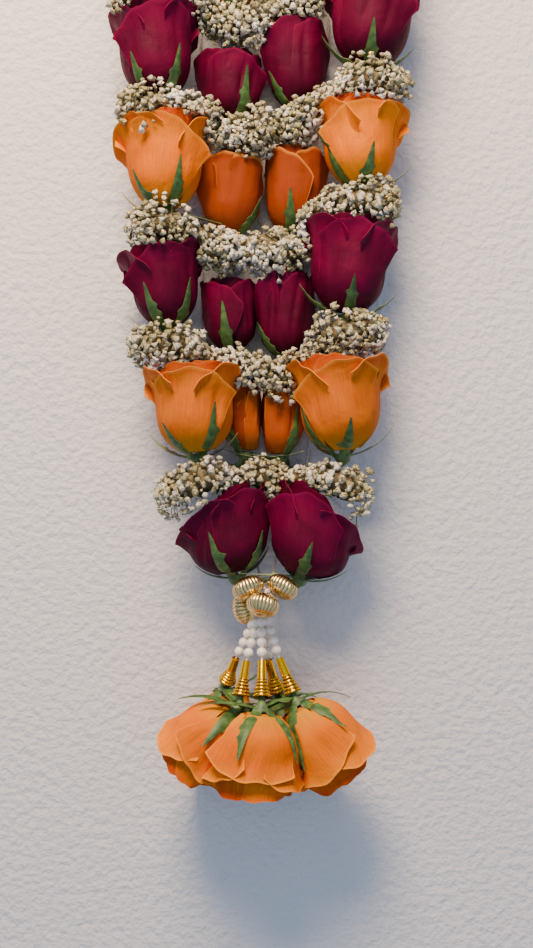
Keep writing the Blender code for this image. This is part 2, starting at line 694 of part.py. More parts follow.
def spray_rings(above, below, rng):
    """Centre, outward directions and reach of each floret and of each valley between two."""
    places, halves = spray_stops(above, below)
    route = np.array(smooth_route(places, 8))
    reach = np.interp(np.linspace(0, 1, len(route)), np.linspace(0, 1, len(halves)), halves)
    run = np.concatenate(((0.0,), np.cumsum(np.linalg.norm(np.diff(route, axis=0), axis=1))))
    steps = np.linspace(0.0, run[-1], int(run[-1] / SPRAY_PITCH))
    centre = np.stack([np.interp(steps, run, route[:, k]) for k in range(3)], axis=-1)
    reach = np.interp(steps, run, reach)
    along = np.gradient(centre, axis=0)
    along /= np.linalg.norm(along, axis=1)[:, None]
    across = np.cross(along, (0.0, 0.0, 1.0))
    across /= np.linalg.norm(across, axis=1)[:, None]
    rise = np.cross(across, along)
    ring, side = np.meshgrid(np.arange(len(steps)), np.arange(SPRAY_SIDES), indexing="ij")
    raised = (ring + side) % 2 == 0
    angle = side * 2 * math.pi / SPRAY_SIDES + raised * rng.uniform(-0.12, 0.12, ring.shape)
    out = across[:, None] * np.cos(angle)[..., None] * SPRAY_SPREAD
    out = out + rise[:, None] * np.sin(angle)[..., None]
    height = np.where(raised, 1.0 + rng.uniform(-SPRAY_JITTER, SPRAY_JITTER, ring.shape), SPRAY_VALLEY)
    return centre, out, reach[:, None] * height, raised, along


def spray_faces(raised):
    """Four triangles rise to each floret; a fan closes each end."""
    rings, sides = raised.shape
    faces = []
    for i in range(rings - 1):
        for j in range(sides):
            k = (j + 1) % sides
            a, b, c, d = i * sides + j, (i + 1) * sides + j, (i + 1) * sides + k, i * sides + k
            faces += [(a, b, d), (b, c, d)] if raised[i, j] else [(a, b, c), (a, c, d)]
    first, last = rings * sides, rings * sides + 1
    for j in range(sides):
        k = (j + 1) % sides
        faces.append((first, j, k))
        faces.append((last, (rings - 1) * sides + k, (rings - 1) * sides + j))
    return faces


def spray_places(centre, out, reach, along):
    body = (centre[:, None] + out * reach[..., None]).reshape(-1, 3)
    ends = (centre[0] - along[0] * SPRAY_TIP, centre[-1] + along[-1] * SPRAY_TIP)
    return np.concatenate((body, ends))


def make_spray(name, above, below, trees, seed):
    """Baby's breath: florets raised from a core, drawn in where something else is near."""
    rng = np.random.default_rng(seed)
    centre, out, reach, raised, along = spray_rings(above, below, rng)
    faces = spray_faces(raised)
    flat = reach.reshape(-1)
    for _ in range(80):
        places = spray_places(centre, out, reach + SPRAY_GAP, along)
        own = bvhtree.BVHTree.FromPolygons(places.tolist(), faces)
        touched = {pair[0] for tree in trees for pair in own.overlap(tree)}
        if not touched:
            break
        near = {corner for face in touched for corner in faces[face] if corner < flat.size}
        flat[sorted(near)] *= 0.93
    form = bmesh.new()
    verts = [form.verts.new(place) for place in spray_places(centre, out, reach, along)]
    for face in faces:
        form.faces.new([verts[corner] for corner in face])
    bmesh.ops.recalc_face_normals(form, faces=form.faces)
    made = new_object(name, mesh_from_bmesh(name, form))
    made.data.materials.append(material("dried_babys_breath", CREAM, 0.8))
    return made


def melon_bead(name, place, axis):
    """An oblate bead whose flutes run from pole to pole."""
    form = bmesh.new()
    bmesh.ops.create_uvsphere(form, u_segments=BEAD_FLUTES * 2, v_segments=4, radius=1.0)
    for vert in form.verts:
        angle = math.atan2(vert.co.y, vert.co.x)
        flute = 1.0 - BEAD_FLUTE_DEPTH * (1.0 - math.cos(BEAD_FLUTES * angle)) / 2
        vert.co.x *= BEAD_RADIUS * flute
        vert.co.y *= BEAD_RADIUS * flute
        vert.co.z *= BEAD_HALF_HEIGHT
    made = new_object(name, mesh_from_bmesh(name, form))
    made.matrix_world = Matrix.Translation(place) @ axis.to_track_quat("Z", "Y").to_matrix().to_4x4()
    made.data.materials.append(material("pale_gold_plating", GOLD, 0.3, 1.0))
    return made


def gold_cone(name, tip, base):
    """A turned cap: a slim cone with grooves round its lower third, bored for a stem."""
    length = (base - tip).length
    outline = [(0.0, 0.0), (CONE_TIP_RADIUS, 0.0), (CONE_NECK_RADIUS, length * CONE_NECK)]
    for k in range(CONE_GROOVES):
        flare = 0.15 + 0.85 * (k + 0.5) / CONE_GROOVES
        width = CONE_NECK_RADIUS + (CONE_BASE_RADIUS - CONE_NECK_RADIUS) * flare
        down = CONE_NECK + (1.0 - CONE_NECK) * flare
        outline.append((width + CONE_RIB, length * (down - 0.04)))
        outline.append((width, length * down))
    outline += [(CONE_BASE_RADIUS, length), (CONE_BORE_RADIUS, length)]
    outline += [(CONE_BORE_RADIUS, length - CONE_BORE_DEPTH), (0.0, length - CONE_BORE_DEPTH)]
    mesh = bpy.data.meshes.new(name)
    places = [(radius, 0.0, -down) for radius, down in outline]
    mesh.from_pydata(places, [(i, i + 1) for i in range(len(places) - 1)], [])
    made = new_object(name, mesh)
    turned = made.modifiers.new("turned", "SCREW")
    turned.axis = "Z"
    turned.steps = CONE_SIDES
    turned.render_steps = CONE_SIDES
    turned.use_merge_vertices = True
    turned.merge_threshold = 1e-5
    turn = (tip - base).to_track_quat("Z", "Y").to_matrix().to_4x4()
    made.matrix_world = Matrix.Translation(tip) @ turn
    made.data.materials.append(material("yellow_gold_plating", YELLOW_GOLD, 0.25, 1.0))
    return made


def small_sphere(place, radius):
    form = bmesh.new()
    bmesh.ops.create_icosphere(form, subdivisions=1, radius=radius)
    made = new_object("pearl", mesh_from_bmesh("pearl", form))
    made.matrix_world = Matrix.Translation(place)
    return made


def pearl_string(tip, fan):
    """Pearls threaded side by side from the tip of a cone, and the thread on to the fan."""
    run = (fan - tip).normalized()
    places = [tip + run * THREAD_GAP]
    radii = [THREAD_RADIUS]
    low, width = PEARL_SHOULDER
    for k in range(PEARLS_A_STRING):
        middle = places[0] + run * (PEARL_LEAD + PEARL_PITCH * k)
        places += [middle - run * PEARL_RADIUS * low, middle + run * PEARL_RADIUS * low]
        radii += [PEARL_RADIUS * width] * 2
        places.append(middle + run * PEARL_PITCH / 2)
        radii.append(THREAD_RADIUS)
    if (places[-1] - places[0]).length < (fan - places[0]).length:
        places.append(fan)
        radii.append(THREAD_RADIUS)
    return tube("pearls", places, radii, CUP_SIDES)


def make_pearls(knot, fan, tips, poles):
    """Strings of pearls that fan out from one knot to the tips of the cones."""
    made = small_sphere(knot, KNOT_RADIUS)
    made.name = "pearl_strings"
    pieces = [small_sphere(fan, KNOT_RADIUS)]
    pieces.append(tube("thread", [knot, fan], [THREAD_RADIUS] * 2, 4))
    for pole, start in poles:
        pieces.append(tube("thread", [start, pole], [THREAD_RADIUS] * 2, 4))
    pieces += [pearl_string(tip, fan) for tip in tips]
    fuse(made, pieces)
    made.data.materials.clear()
    made.data.materials.append(material("pearl", PEARL, 0.25))
    return made


def make_string():
    """One string runs up the left strand, is knotted at the top and comes down the right."""
    left = [point(*place) for place in STRING_LEFT]
    right = [point(*place) for place in STRING_RIGHT]
    route = left + right[::-1]
    made = tube("garland_string", route, [STRING_RADIUS] * len(route), 4)
    fuse(made, [small_sphere(point(*STRING_KNOT), STRING_KNOT_RADIUS)])
    made.data.materials.clear()
    made.data.materials.append(material("white_cotton_string", THREAD_WHITE, 0.9))
    return made


clear_scene()
garland = bpy.data.collections.new("rose_garland")
cutters = bpy.data.collections.new("cutters")
bpy.context.scene.collection.children.link(garland)
bpy.context.scene.collection.children.link(cutters)

floor = make_floor()
roses = {name: Rose(name, *row) for name, row in ROSES.items()}
press_neighbours(roses)
rose_trees = [tree_of(make_rose(rose, floor)) for rose in roses.values()]

cones = {name: (point(*tip), point(*base)) for name, (tip, base) in CONES.items()}
cone_trees = [tree_of(applied(gold_cone("gold_cone_" + name, *ends))) for name, ends in cones.items()]

knot = point(*KNOT)
fan = point(*FAN)
poles = []
bead_trees = []
for name, (place, start) in BEADS.items():
    middle = point(*place)
    thread = knot if start == "knot" else fan
    axis = (thread - middle).normalized()
    bead = melon_bead("gold_bead_" + name, middle, axis)
    bead_trees.append(tree_of(bead))
    poles.append((middle + axis * (BEAD_HALF_HEIGHT + THREAD_GAP), thread))
tips = [tip for tip, _ in cones.values()]
pearls = make_pearls(knot, fan, tips, poles)
string = make_string()

rows = {row: [roses[f"row_{row}_{place}"] for place in ROW_PLACES] for row in range(2, 7)}
tassel = [roses["tassel_" + name] for name in CONES]
ties = {"row_1_left": point(*ROW_1_TIE), "row_1_right": point(*ROW_1_TIE)}
for side, places in STRING_TIES.items():
    for row, place in enumerate(places, 2):
        ties[f"row_{row}_outer_{side}"] = point(*place)
        ties[f"row_{row}_inner_{side}"] = point(*place)
bends = {name: stem_bend(roses[name], tie) for name, tie in ties.items()}
for rose, (tip, base) in zip(tassel, cones.values()):
    up = (tip - base).normalized()
    ties[rose.name] = base + up * CONE_STUB
    bends[rose.name] = base - up * CONE_MARGIN
stems = {}
for name, rose in roses.items():
    stem = cup_and_stem(rose, bends[name], ties[name])
    stems[name] = (stem, tree_of(stem))

trees = rose_trees + cone_trees + bead_trees + [tree_of(pearls), tree_of(string)]
lower = {row: rows[row - 1] for row in range(3, 7)}
lower[2] = [roses[name] for name in ("row_1_left", "row_1_left", "row_1_right", "row_1_right")]
core_trees = [spray_core(rows[row], lower[row]) for row in rows]
for row, members in rows.items():
    for side, half in (("left", members[:2]), ("right", members[2:])):
        green = make_green(f"row_{row}_{side}_calyxes", half, stems, trees + core_trees)
        trees.append(tree_of(green))
pair = [roses["row_1_left"], roses["row_1_right"]]
trees.append(tree_of(make_green("row_1_calyxes", pair, stems, trees + core_trees)))
links = list(zip(tassel, tassel[1:]))
trees.append(tree_of(make_green("tassel_calyxes", tassel, stems, trees, links)))

for row in rows:
    name = f"babys_breath_{row - 1}_{row}"
    spray = make_spray(name, rows[row], lower[row], trees, SPRAY_SEED + row)
    trees.append(tree_of(spray))

frame = bpy.data.objects.new("garland_frame", None)
bpy.context.scene.collection.objects.link(frame)
for piece in garland.objects:
    piece.parent = frame
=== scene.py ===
"""Looks of the rose garland: petals, sepals, baby's breath, beads, pearls, cones and string.

The tables give millimetres: x to the right, y up the strands and z towards the viewer, from the
middle of the picture. PLACE moves them to the frame, and MM turns them into metres.
"""
import math
from collections import namedtuple

import bpy
import numpy as np
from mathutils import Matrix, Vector
from mathutils.bvhtree import BVHTree


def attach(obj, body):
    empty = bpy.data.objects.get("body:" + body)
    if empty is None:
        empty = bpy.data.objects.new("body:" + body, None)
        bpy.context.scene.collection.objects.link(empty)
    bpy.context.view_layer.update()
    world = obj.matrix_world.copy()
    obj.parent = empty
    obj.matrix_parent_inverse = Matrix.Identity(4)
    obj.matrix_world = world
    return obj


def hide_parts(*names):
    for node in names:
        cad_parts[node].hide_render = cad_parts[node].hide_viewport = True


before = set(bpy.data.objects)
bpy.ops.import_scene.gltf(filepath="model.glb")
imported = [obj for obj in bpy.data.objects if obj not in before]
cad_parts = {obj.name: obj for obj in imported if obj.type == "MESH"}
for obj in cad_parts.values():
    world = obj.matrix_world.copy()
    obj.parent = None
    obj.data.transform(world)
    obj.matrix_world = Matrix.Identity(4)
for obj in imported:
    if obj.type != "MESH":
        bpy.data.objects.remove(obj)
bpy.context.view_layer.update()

MM = 0.001
PLACE = np.array((-0.96, -81.5, 0))
TURN = 2 * math.pi
UP = np.array((0.0, 0.0, 1.0))
SKEW = (0.31, 0.17, 0.94)  # runs along no piece, so that its cross product with one is never 0

# Camera: straight above the middle of the picture
CAMERA_HEIGHT = 0.800
LONG_SIDE = 36             # mm of sensor along the picture's long side
LENS = 52.2
# Each soft light: name, place in metres, watts and colour
LIGHTS = (("key_light", (-0.18, 0.88, 0.80), 22, "#FFDFC2"),
          ("top_light", (-0.1, 0.50, 0.35), 5, "#FFD6B0"))
LIGHT_SIDE = 0.4           # metres, as in the next two lines
LIGHT_AIM = Vector((0, -0.05, 0.03))
FLOOR_HALF = 3
# Height in the sky, from its foot to its top, and colour
SKY = ((0, "#687088"), (0.45, "#94ACDA"), (1, "#D6E6FF"))
SKY_STRENGTH = 0.83

# Rose petals
ROOT_WIDTH = 0.62          # of a petal or a sepal, as a share of its full width
PETAL_LIP = 0.28           # share of a petal's height that rolls outwards
BOWL_TOP = 0.52            # share of the height where the cup reaches its full width
BOWL_FOOT = 0.30           # share of that width at the foot
BOWL_POWER = 3
SPIRAL = 2.1               # one edge is tucked in and the other stands out
PETAL_GAP = 0.5            # kept free between two roses that press on each other
FLOOR_GAP = 0.35
LEAST_SQUEEZE = 0.12       # share of its radius that a pressed rose keeps
PETAL_WALL = 0.75          # thickness at a petal's root
PETAL_RIM = 0.3            # and at its rim
PETAL_POINT = 0.030        # the tip's height over the rim beside it
PETAL_TOP = 1.04
PETAL_FALL = 0.2           # how much lower the rim is at a petal's edges
RIM_POWER = 2.4            # a higher power keeps the rim level for longer before it falls
ROW_CROWDING = 0.85        # below 1, the rows of points stand closer towards the rim
POINT_WIDTH = 0.2
LEAN_PIVOT = 0.4           # share of the height round which a petal leans
PETAL_JITTER = 6           # degrees
PETAL_FOLDS = 4
FOLD_DEPTHS = (-1.2, 0.45)
FOLD_WIDTHS = (0.05, 0.14)
BROAD_WAVE = 0.8
RUFFLE = 1.1
TONE_SPREAD = 0.4
MIDDLE_HEIGHT = 0.65       # share of the height at which neighbours press on each other
# Bud inside the petals: share of the height, radius as a share of the cup's
BUD_PROFILE = ((0.03, 0.33), (0.08, 0.45), (0.16, 0.63), (0.27, 0.63), (0.38, 0.34), (0.46, 0.17),
               (0.8, 0.13), (0.92, 0.05))
BUD_SIDES = 14
# Painted shade on the bud deep inside the petals
BUD_SHADE = 0.55
INNER_PAINTED_SHADE = {"orange": 0.72, "red": 0.1}    # painted shade: how much darker the inner roses are painted, as they lie behind the outer ones
OUTER_START = 0.1          # petals that start below this share of the height are outer ones

# Calyx, sepals and stems
CUP_RADIUS = 5
CUP_LENGTH = 6.5
CUP_WAIST = 0.86
CAPPED_WAIST = 0.6         # under the gold cones
CUP_SHADE = 0.12
CALYX_GAP = 0.45
STEM_RADIUS = 1.6
STEM_BEND = 0.2            # share of the way to the tie
SEPALS = 5
HIDDEN_SEPALS = 3          # on inner roses and those at the tassel's back
SEPAL_LENGTH = 27
SEPAL_WIDTH = 8
SEPAL_DROP = 1.8
SEPAL_TURN = 20
SEPAL_WALL = 0.7
SEPAL_LOBE = 1.6
SEPAL_GUTTER = 0.22
SEPAL_BACK_SHADE = 0.75
SEPAL_ROWS = 22
SEPAL_CELLS = 6
SEPAL_OFF = 1              # from the petals to a sepal that hugs them
SEPAL_TIP_OFF = 2.6        # and how much further its tip stands away
SEPAL_CLEARANCE = 1.2
SEPAL_FLOOR = 1.6
HUGGING = 0.45             # cosine of the widest angle from the viewer at which a sepal hugs
RAY_START = 60
RAY_LENGTH = 70
# Lift from the flower's foot and curl, in radians, in the order that a sepal tries them
SEPAL_BENDS = ((0.1, 0.9), (0, 0.5), (-0.2, 0.6), (-0.2, 0), (-0.3, -0.6), (-0.5, 0.4))
SEPAL_SHARES = (1, 0.8, 0.62, 0.46)

# Baby's breath
SPRAY_LIFT = 5.5
SPRAY_FALL = 13            # how far the lowest spray hangs in front of row 1
# Half a spray, from its end to its middle: x outwards from what the stop hangs over, y, z, half
# height and half depth that the florets reach, and the stop's share of the fall
SPRAY_HALF = (
    (18, -7, 3, 9, 7, 1),
    (8, -8, 10, 14, 10, 0.4),
    (-4, -8.5, 11, 13.5, 10, 0),
    (0, -9, 10, 9.5, 8, 0),
    (0, -8.5, 11, 11, 9, 0),
    (0, -8, 11, 12.5, 10, 0),
)
CLOUD_DROP = 3             # the florets hang this far below the spray's route
# Stations left off at the left and right end of a spray
CLOUD_TRIMS = {"babys_breath_1_2": (1, 3)}
FLORET_PITCH = 3.3
FLORET_CROWD = 1.7         # florets lie this many deep
FLORET_RADIUS = 2
FLORET_SIZES = (0.5, 1.25)
FLORET_SHAPES = 8
FLORET_SIDES = 6
FLORET_CLEAR = 0.55        # share of its size that a floret keeps from roses and sepals
FLORET_FLOOR = 0.3
FLORET_REAR = 0.45         # share that is left of the florets that face away from the viewer
# Rings of a floret of unit size, from its heart outwards and back: radius, height and wave
FLORET_RINGS = ((0.5, 0.66, 0.32), (1, 0.15, 0.36), (0.55, -0.45, 0.2))
# Painted shade on each floret: its three rings, then the point in its heart and the one behind; 1 is
# unshaded
FLORET_DEPTHS = (1, 0.75, 0.2, 0.45, 0.1)
# Shares of the way out to the spray's surface
FLORET_REACH = (0.55, 0.7, 0.82, 0.9, 0.96, 1, 1.06, 1.14)
ROSE_TOP = 0.97            # florets keep out of a rose up to this share of its height
ROSE_KEEP = 0.92           # and up to this share of its radius
# Dark core inside each spray, in stalk colour: partly its dense stalks, partly painted shade among the
# florets
CORE_SIDES = 16
CORE_SHARE = 0.72
CORE_RAY = 40
CORE_LEAST = 2
STALK_RADIUS = 0.28
STALK_EVERY = 3
STALK_START = 0.3          # share of the way out from the route to its floret
STALK_SPREAD = 2
# Whiter clumps: x, y and spread
WHITE_CLUMPS = ((16, 8, 9), (38, 2, 8), (-20, 66, 8), (30, 140, 9), (-52, 208, 8), (40, 212, 8),
                (-8, 122, 12))

# Beads, pearls, cones and string
BEAD_RADIUS = 9
BEAD_HALF_HEIGHT = 6.1
BEAD_RIDGES = 24
BEAD_ROWS = 21
BEAD_GROOVE = 0.05
BEAD_POLE = 78             # latitude, in degrees, where the bore's funnel starts
BEAD_BORE_RADIUS = 0.7
BEAD_FUNNEL = 1
PEARL_RADIUS = 2.75
PEARL_ROWS = 13
PEARL_SIDES = 20
PEARL_PITCH = 5.6
PEARL_LEAD = 4.2
PEARLS_A_STRING = 4
THREAD_RADIUS = 0.5
THREAD_SIDES = 7
THREAD_GAP = 0.35
KNOT_RADIUS = 1.6
KNOT_TILTS = ((1, 0.2, 0.1), (0.1, 1, 0.3), (0.3, -0.2, 1), (0.7, -0.7, 0.4))
CONE_TIP_RADIUS = 2.2
CONE_NECK_RADIUS = 2.7
CONE_BASE_RADIUS = 5.2
CONE_BORE_RADIUS = 2.2
CONE_BORE_DEPTH = 6
CONE_NECK = 0.52
CONE_RINGS = 5
CONE_GROOVE = 0.75
CONE_ROWS = 90
CONE_SIDES = 40
CONE_STUB = 4.5
CONE_MARGIN = 0.6
STRING_RADIUS = 0.95
PLIES = 3
PLY_RADIUS = 0.5
PLY_SIDES = 5
STRING_STEP = 1.4
STRING_TWIST = 7           # length of one turn of the plies
STRING_KNOT_RADIUS = 2.6

# Each rose: foot and mouth (x, y, z), radius at the cup, turn of its petals in degrees and how
# far the outer petals roll out in degrees. The roses in front also have what sets them apart: the
# hand of the spiral, turn of the petals in degrees beyond the CAD's, how strongly the rims slant,
# the cup's width halfway up, as a share of its width at the lip, and how high the front petal
# reaches, as a share of its usual height
ROSES = {
    "row_1_left": ((-17, -56, 32), (-27, -8, 32), 20.5, 30, 66, 1, 0, 0.8, 1, 1),
    "row_1_right": ((18.5, -57, 32), (33.5, -9, 32), 22, -20, 70, -1, 10, 0.8, 1, 1),
    "row_2_outer_left": ((-38.5, 10.5, 36), (-42.5, 61, 37), 21.5, 10, 78, 1, -18, 0.6, 0.96, 1),
    "row_2_inner_left": ((-12.5, 12.5, 15.5), (-11.5, 51, 15.5), 14, 60, 20),
    "row_2_inner_right": ((7.5, 10.5, 15.5), (5.5, 48, 15.5), 14, 20, 20),
    "row_2_outer_right": ((42, 11.5, 36), (39.5, 65, 37), 22, -10, 80, -1, 14, 0.9, 0.96, 1),
    "row_3_outer_left": ((-54, 81.5, 33), (-59.5, 127, 33), 19, 25, 70, -1, -20, 1.2, 0.9, 1),
    "row_3_inner_left": ((-20, 70, 17), (-21.5, 110, 17), 15.5, -30, 18),
    "row_3_inner_right": ((11.5, 65.5, 17), (9.5, 114, 17), 16, 45, 18),
    "row_3_outer_right": ((44.5, 88.5, 34), (47.5, 142, 34), 20.5, -15, 62, 1, 12, 0.5, 0.97, 1),
    "row_4_outer_left": ((-56, 146.5, 34), (-57.5, 199, 34), 20, 5, 76, 1, 4, 1.3, 0.95, 0.97),
    "row_4_inner_left": ((-19.5, 135.5, 18), (-20, 180, 18), 16.5, 35, 24),
    "row_4_inner_right": ((14.5, 135.5, 18), (15.5, 184, 18), 16, -25, 24),
    "row_4_outer_right": ((51, 159.5, 34), (54, 207, 34), 20, -5, 76, -1, 12, 1.1, 0.95, 0.97),
    "row_5_outer_left": ((-61, 208, 34), (-61.5, 260, 34), 19, 20, 64, -1, -14, 1, 0.98, 1),
    "row_5_inner_left": ((-20, 199, 18), (-21, 238, 18), 17, 10, 22),
    "row_5_inner_right": ((17.5, 206.5, 18), (16, 256, 18), 16.5, 50, 22),
    "row_5_outer_right": ((56.5, 225.5, 34), (60.5, 277, 34), 20.5, -20, 60, 1, 20, 0.8, 0.98, 1),
    "row_6_outer_left": ((-64, 272, 34), (-64.5, 322, 34), 20, 15, 72, 1, 0, 1, 0.92, 1),
    "row_6_inner_left": ((-21, 261, 15.8), (-21.5, 303, 15.8), 16.5, -15, 24),
    "row_6_inner_right": ((17.5, 274, 15.6), (18, 318, 15.6), 16.5, 30, 24),
    "row_6_outer_right": ((62, 290.5, 34), (64.5, 340, 34), 20, -10, 72, -1, 0, 1, 0.92, 1),
    "tassel_front": ((-3, -127, 62), (-8, -172, 64.5), 23.5, 0, 60, 1, 0, 0.5, 0.98, 0.82),
    "tassel_right": ((17, -125.5, 50), (40, -166, 47), 21.5, 10, 46, -1, 10, 0.8, 0.96, 0.88),
    "tassel_left": ((-16.4, -128.4, 52.8), (-43.5, -163, 46), 20.5, -10, 46, 1, 0, 0.8, 0.96, 0.86),
    "tassel_back_left": ((-23.5, -122.5, 23), (-21, -175, 18.6), 21, 20, 42),
    "tassel_back_right": ((7.5, -127, 24.5), (20, -172, 19.3), 21, -15, 42),
}
RED_ROWS = ("row_1", "row_3", "row_5")
# Orange roses of a yellower tone
AMBER = ("row_4_outer_left", "row_4_outer_right", "tassel_front", "tassel_right", "tassel_left")
# Roses whose mouth drops to one side: share of the height, below 0 to the left
MOUTH_DROPS = {"row_1_left": -0.3, "row_1_right": 0.36}
# Roses that rest on the floor, and how far their petals may press down
SEATED = {"row_6_inner_left": -4, "row_6_inner_right": -4, "tassel_back_left": -1.2,
          "tassel_back_right": -2}

# Where the stems of rows 2 to 6 are tied
STRING_TIES = {
    "left": ((-27, 3, 5.9), (-35.4, 68, 5.9), (-35.4, 134, 5.9), (-36.4, 205, 5.9), (-36.4, 265, 5.9)),
    "right": ((21, 3, 5.9), (27.4, 73, 5.9), (31.4, 148, 5.9), (33.4, 213, 5.9), (34.4, 281, 5.9)),
}
ROW_1_TIE = (0, -59.4, 27.5)
STRING_LEFT = ((-1, -62.8, 47.9), (-3.2, -59.5, 36), (-6, -50, 12), (-16, -26, 4), (-28.5, 3, 3.4),
               (-37, 64.5, 3.4), (-37, 131, 3.4), (-38, 205, 3.4), (-38, 264, 3.4), (-38, 304, 3.4),
               (-18, 324, 3.4))
STRING_RIGHT = ((2, -62.7, 47.9), (3.7, -59.5, 36), (5, -50, 12), (12, -26, 4), (22.5, 3, 3.4),
                (29, 69, 3.4), (33, 148, 3.4), (35, 213, 3.4), (36, 280, 3.4), (35, 314, 3.4),
                (18, 328, 3.4))
STRING_KNOT = np.array((0, 330, 3.6))

# Tassel: the tip and base of each cone, round the ring from the back left
CONES = {
    "back_left": ((-17, -102.5, 36.5), (-22, -116, 29)),
    "left": ((-11, -102.5, 46.5), (-14, -121, 52)),
    "front": ((-2.5, -101.5, 52), (-2.5, -120.5, 60)),
    "right": ((7, -101, 45.5), (14.5, -119.5, 49)),
    "back_right": ((1, -103.5, 37), (5.5, -121, 28)),
}
CONES = {name: np.array(ends) for name, ends in CONES.items()}
KNOT = np.array((0.5, -64, 50))
FAN = np.array((-3.0, -73.0, 41.0))
# The middle of each bead, what its thread is tied to and the way its bore points
BEADS = {
    "upper_left": ((-10, -62.5, 47), KNOT, (0.36, -0.88, 0.3)),
    "upper_right": ((8.6, -62, 47), KNOT, (-0.48, -0.84, 0.3)),
    "lower_front": ((-2, -71, 56), KNOT, (0.25, 0.9, -0.45)),
    "lower_left": ((-12.5, -75, 31.5), FAN, (0.95, 0.2, 0.25)),
}

# A petal: turn and half width in degrees, width as a share of the cup's, height as a share of
# the rose's, share of the rose's outward roll, share of SPIRAL, slant of its rim, how far in
# degrees it leans round the rose on its way up, how far its free edge flares in mm, how far its
# top closes over the heart, where it starts, cells across and up
Petal = namedtuple("Petal", "turn half width height roll spiral slant lean flare close start "
                   "cells rows")
# Layers of petals from the outer ones to the heart, each under how much darker its painted shade is
PETALS = {
    0: (
        Petal(0, 58, 1.05, 0.93, 0.55, 0.6, -0.13, 10, 1.5, 0, 0.04, 26, 22),
        Petal(78, 54, 1.03, 0.96, 0.75, 1, 0.05, -14, 1.3, 0, 0.05, 22, 20),
        Petal(-74, 54, 1.02, 0.98, 0.75, -1, 0.09, 12, 1.3, 0, 0.05, 22, 20),
        Petal(148, 46, 1, 0.93, 0.9, 1, 0, 8, 1.2, 0, 0.05, 12, 12),
        Petal(-138, 50, 1, 0.93, 0.9, -1, 0, 8, 1.2, 0, 0.05, 12, 12),
    ),
    0.1: (
        Petal(-24, 60, 0.82, 1, 0.3, -0.6, 0.1, 10, 0.5, 0, 0.25, 18, 14),
        Petal(52, 56, 0.78, 1.01, 0.25, 0.6, -0.06, -8, 0.5, 0, 0.25, 18, 14),
        Petal(140, 60, 0.8, 0.98, 0.3, 0.8, 0.02, 0, 0.5, 0, 0.3, 14, 10),
        Petal(-120, 60, 0.82, 0.99, 0.3, 0.8, 0.02, 0, 0.5, 0, 0.3, 14, 10),
    ),
    0.3: (
        Petal(15, 95, 0.77, 0.99, 0.35, 0.6, 0.06, 6, 0.5, 0, 0.35, 20, 10),
        Petal(200, 95, 0.7, 1, 0.25, 0.6, -0.05, 0, 0.5, 0.04, 0.35, 20, 10),
    ),
    0.45: (
        Petal(90, 120, 0.6, 0.985, 0.1, 0.6, 0, 0, 0, 0.1, 0.4, 18, 7),
        Petal(250, 130, 0.48, 0.975, 0.1, 0.6, 0, 0, 0, 0.2, 0.4, 18, 7),
        Petal(30, 140, 0.36, 0.965, 0.1, 0.6, 0, 0, 0, 0.3, 0.4, 16, 7),
        Petal(190, 150, 0.25, 0.95, 0.1, 0.5, 0, 0, 0, 0.4, 0.4, 16, 7),
    ),
}


def linear(code):
    """A colour given as six sRGB hex digits, turned to linear light."""
    channels = [int(code[i:i + 2], 16) / 255 for i in (1, 3, 5)]
    return (*(c / 12.92 if c <= 0.04045 else ((c + 0.055) / 1.055) ** 2.4 for c in channels), 1)


def add(tree, kind, inputs=(), stops=(), out=0, **settings):
    """Add a node with its settings and return one of its outputs. An input is a value, a colour
    in hex digits or another node's output."""
    made = tree.nodes.new("ShaderNode" + kind)
    for name, value in settings.items():
        setattr(made, name, value)
    for name, value in dict(inputs).items():
        if isinstance(value, bpy.types.NodeSocket):
            tree.links.new(value, made.inputs[name])
        else:
            made.inputs[name].default_value = linear(value) if isinstance(value, str) else value
    while stops and len(made.color_ramp.elements) < len(stops):
        made.color_ramp.elements.new(1)
    for element, (place, code) in zip(made.color_ramp.elements if stops else (), stops):
        element.position = place
        element.color = linear(code)
    return made.outputs[out] if made.outputs else None


def size(mm):
    """Scale of a noise on Object coordinates whose features are this many mm across."""
    return 1000 / mm


def new_material(name):
    """An empty node material, the tree to build it in and its Object coordinates."""
    made = bpy.data.materials.new(name)
    made.use_nodes = True
    made.node_tree.nodes.clear()
    return made, made.node_tree, add(made.node_tree, "TexCoord", out="Object")


def finish_material(made, base, bump=None, **values):
    """A Principled shader with a base colour, an optional bump and plain values."""
    inputs = {"Base Color": base}
    for name, value in values.items():
        inputs[name.replace("_", " ")] = value
    if bump is not None:
        inputs["Normal"] = bump
    shader = add(made.node_tree, "BsdfPrincipled", inputs)
    add(made.node_tree, "OutputMaterial", {"Surface": shader})
    return made


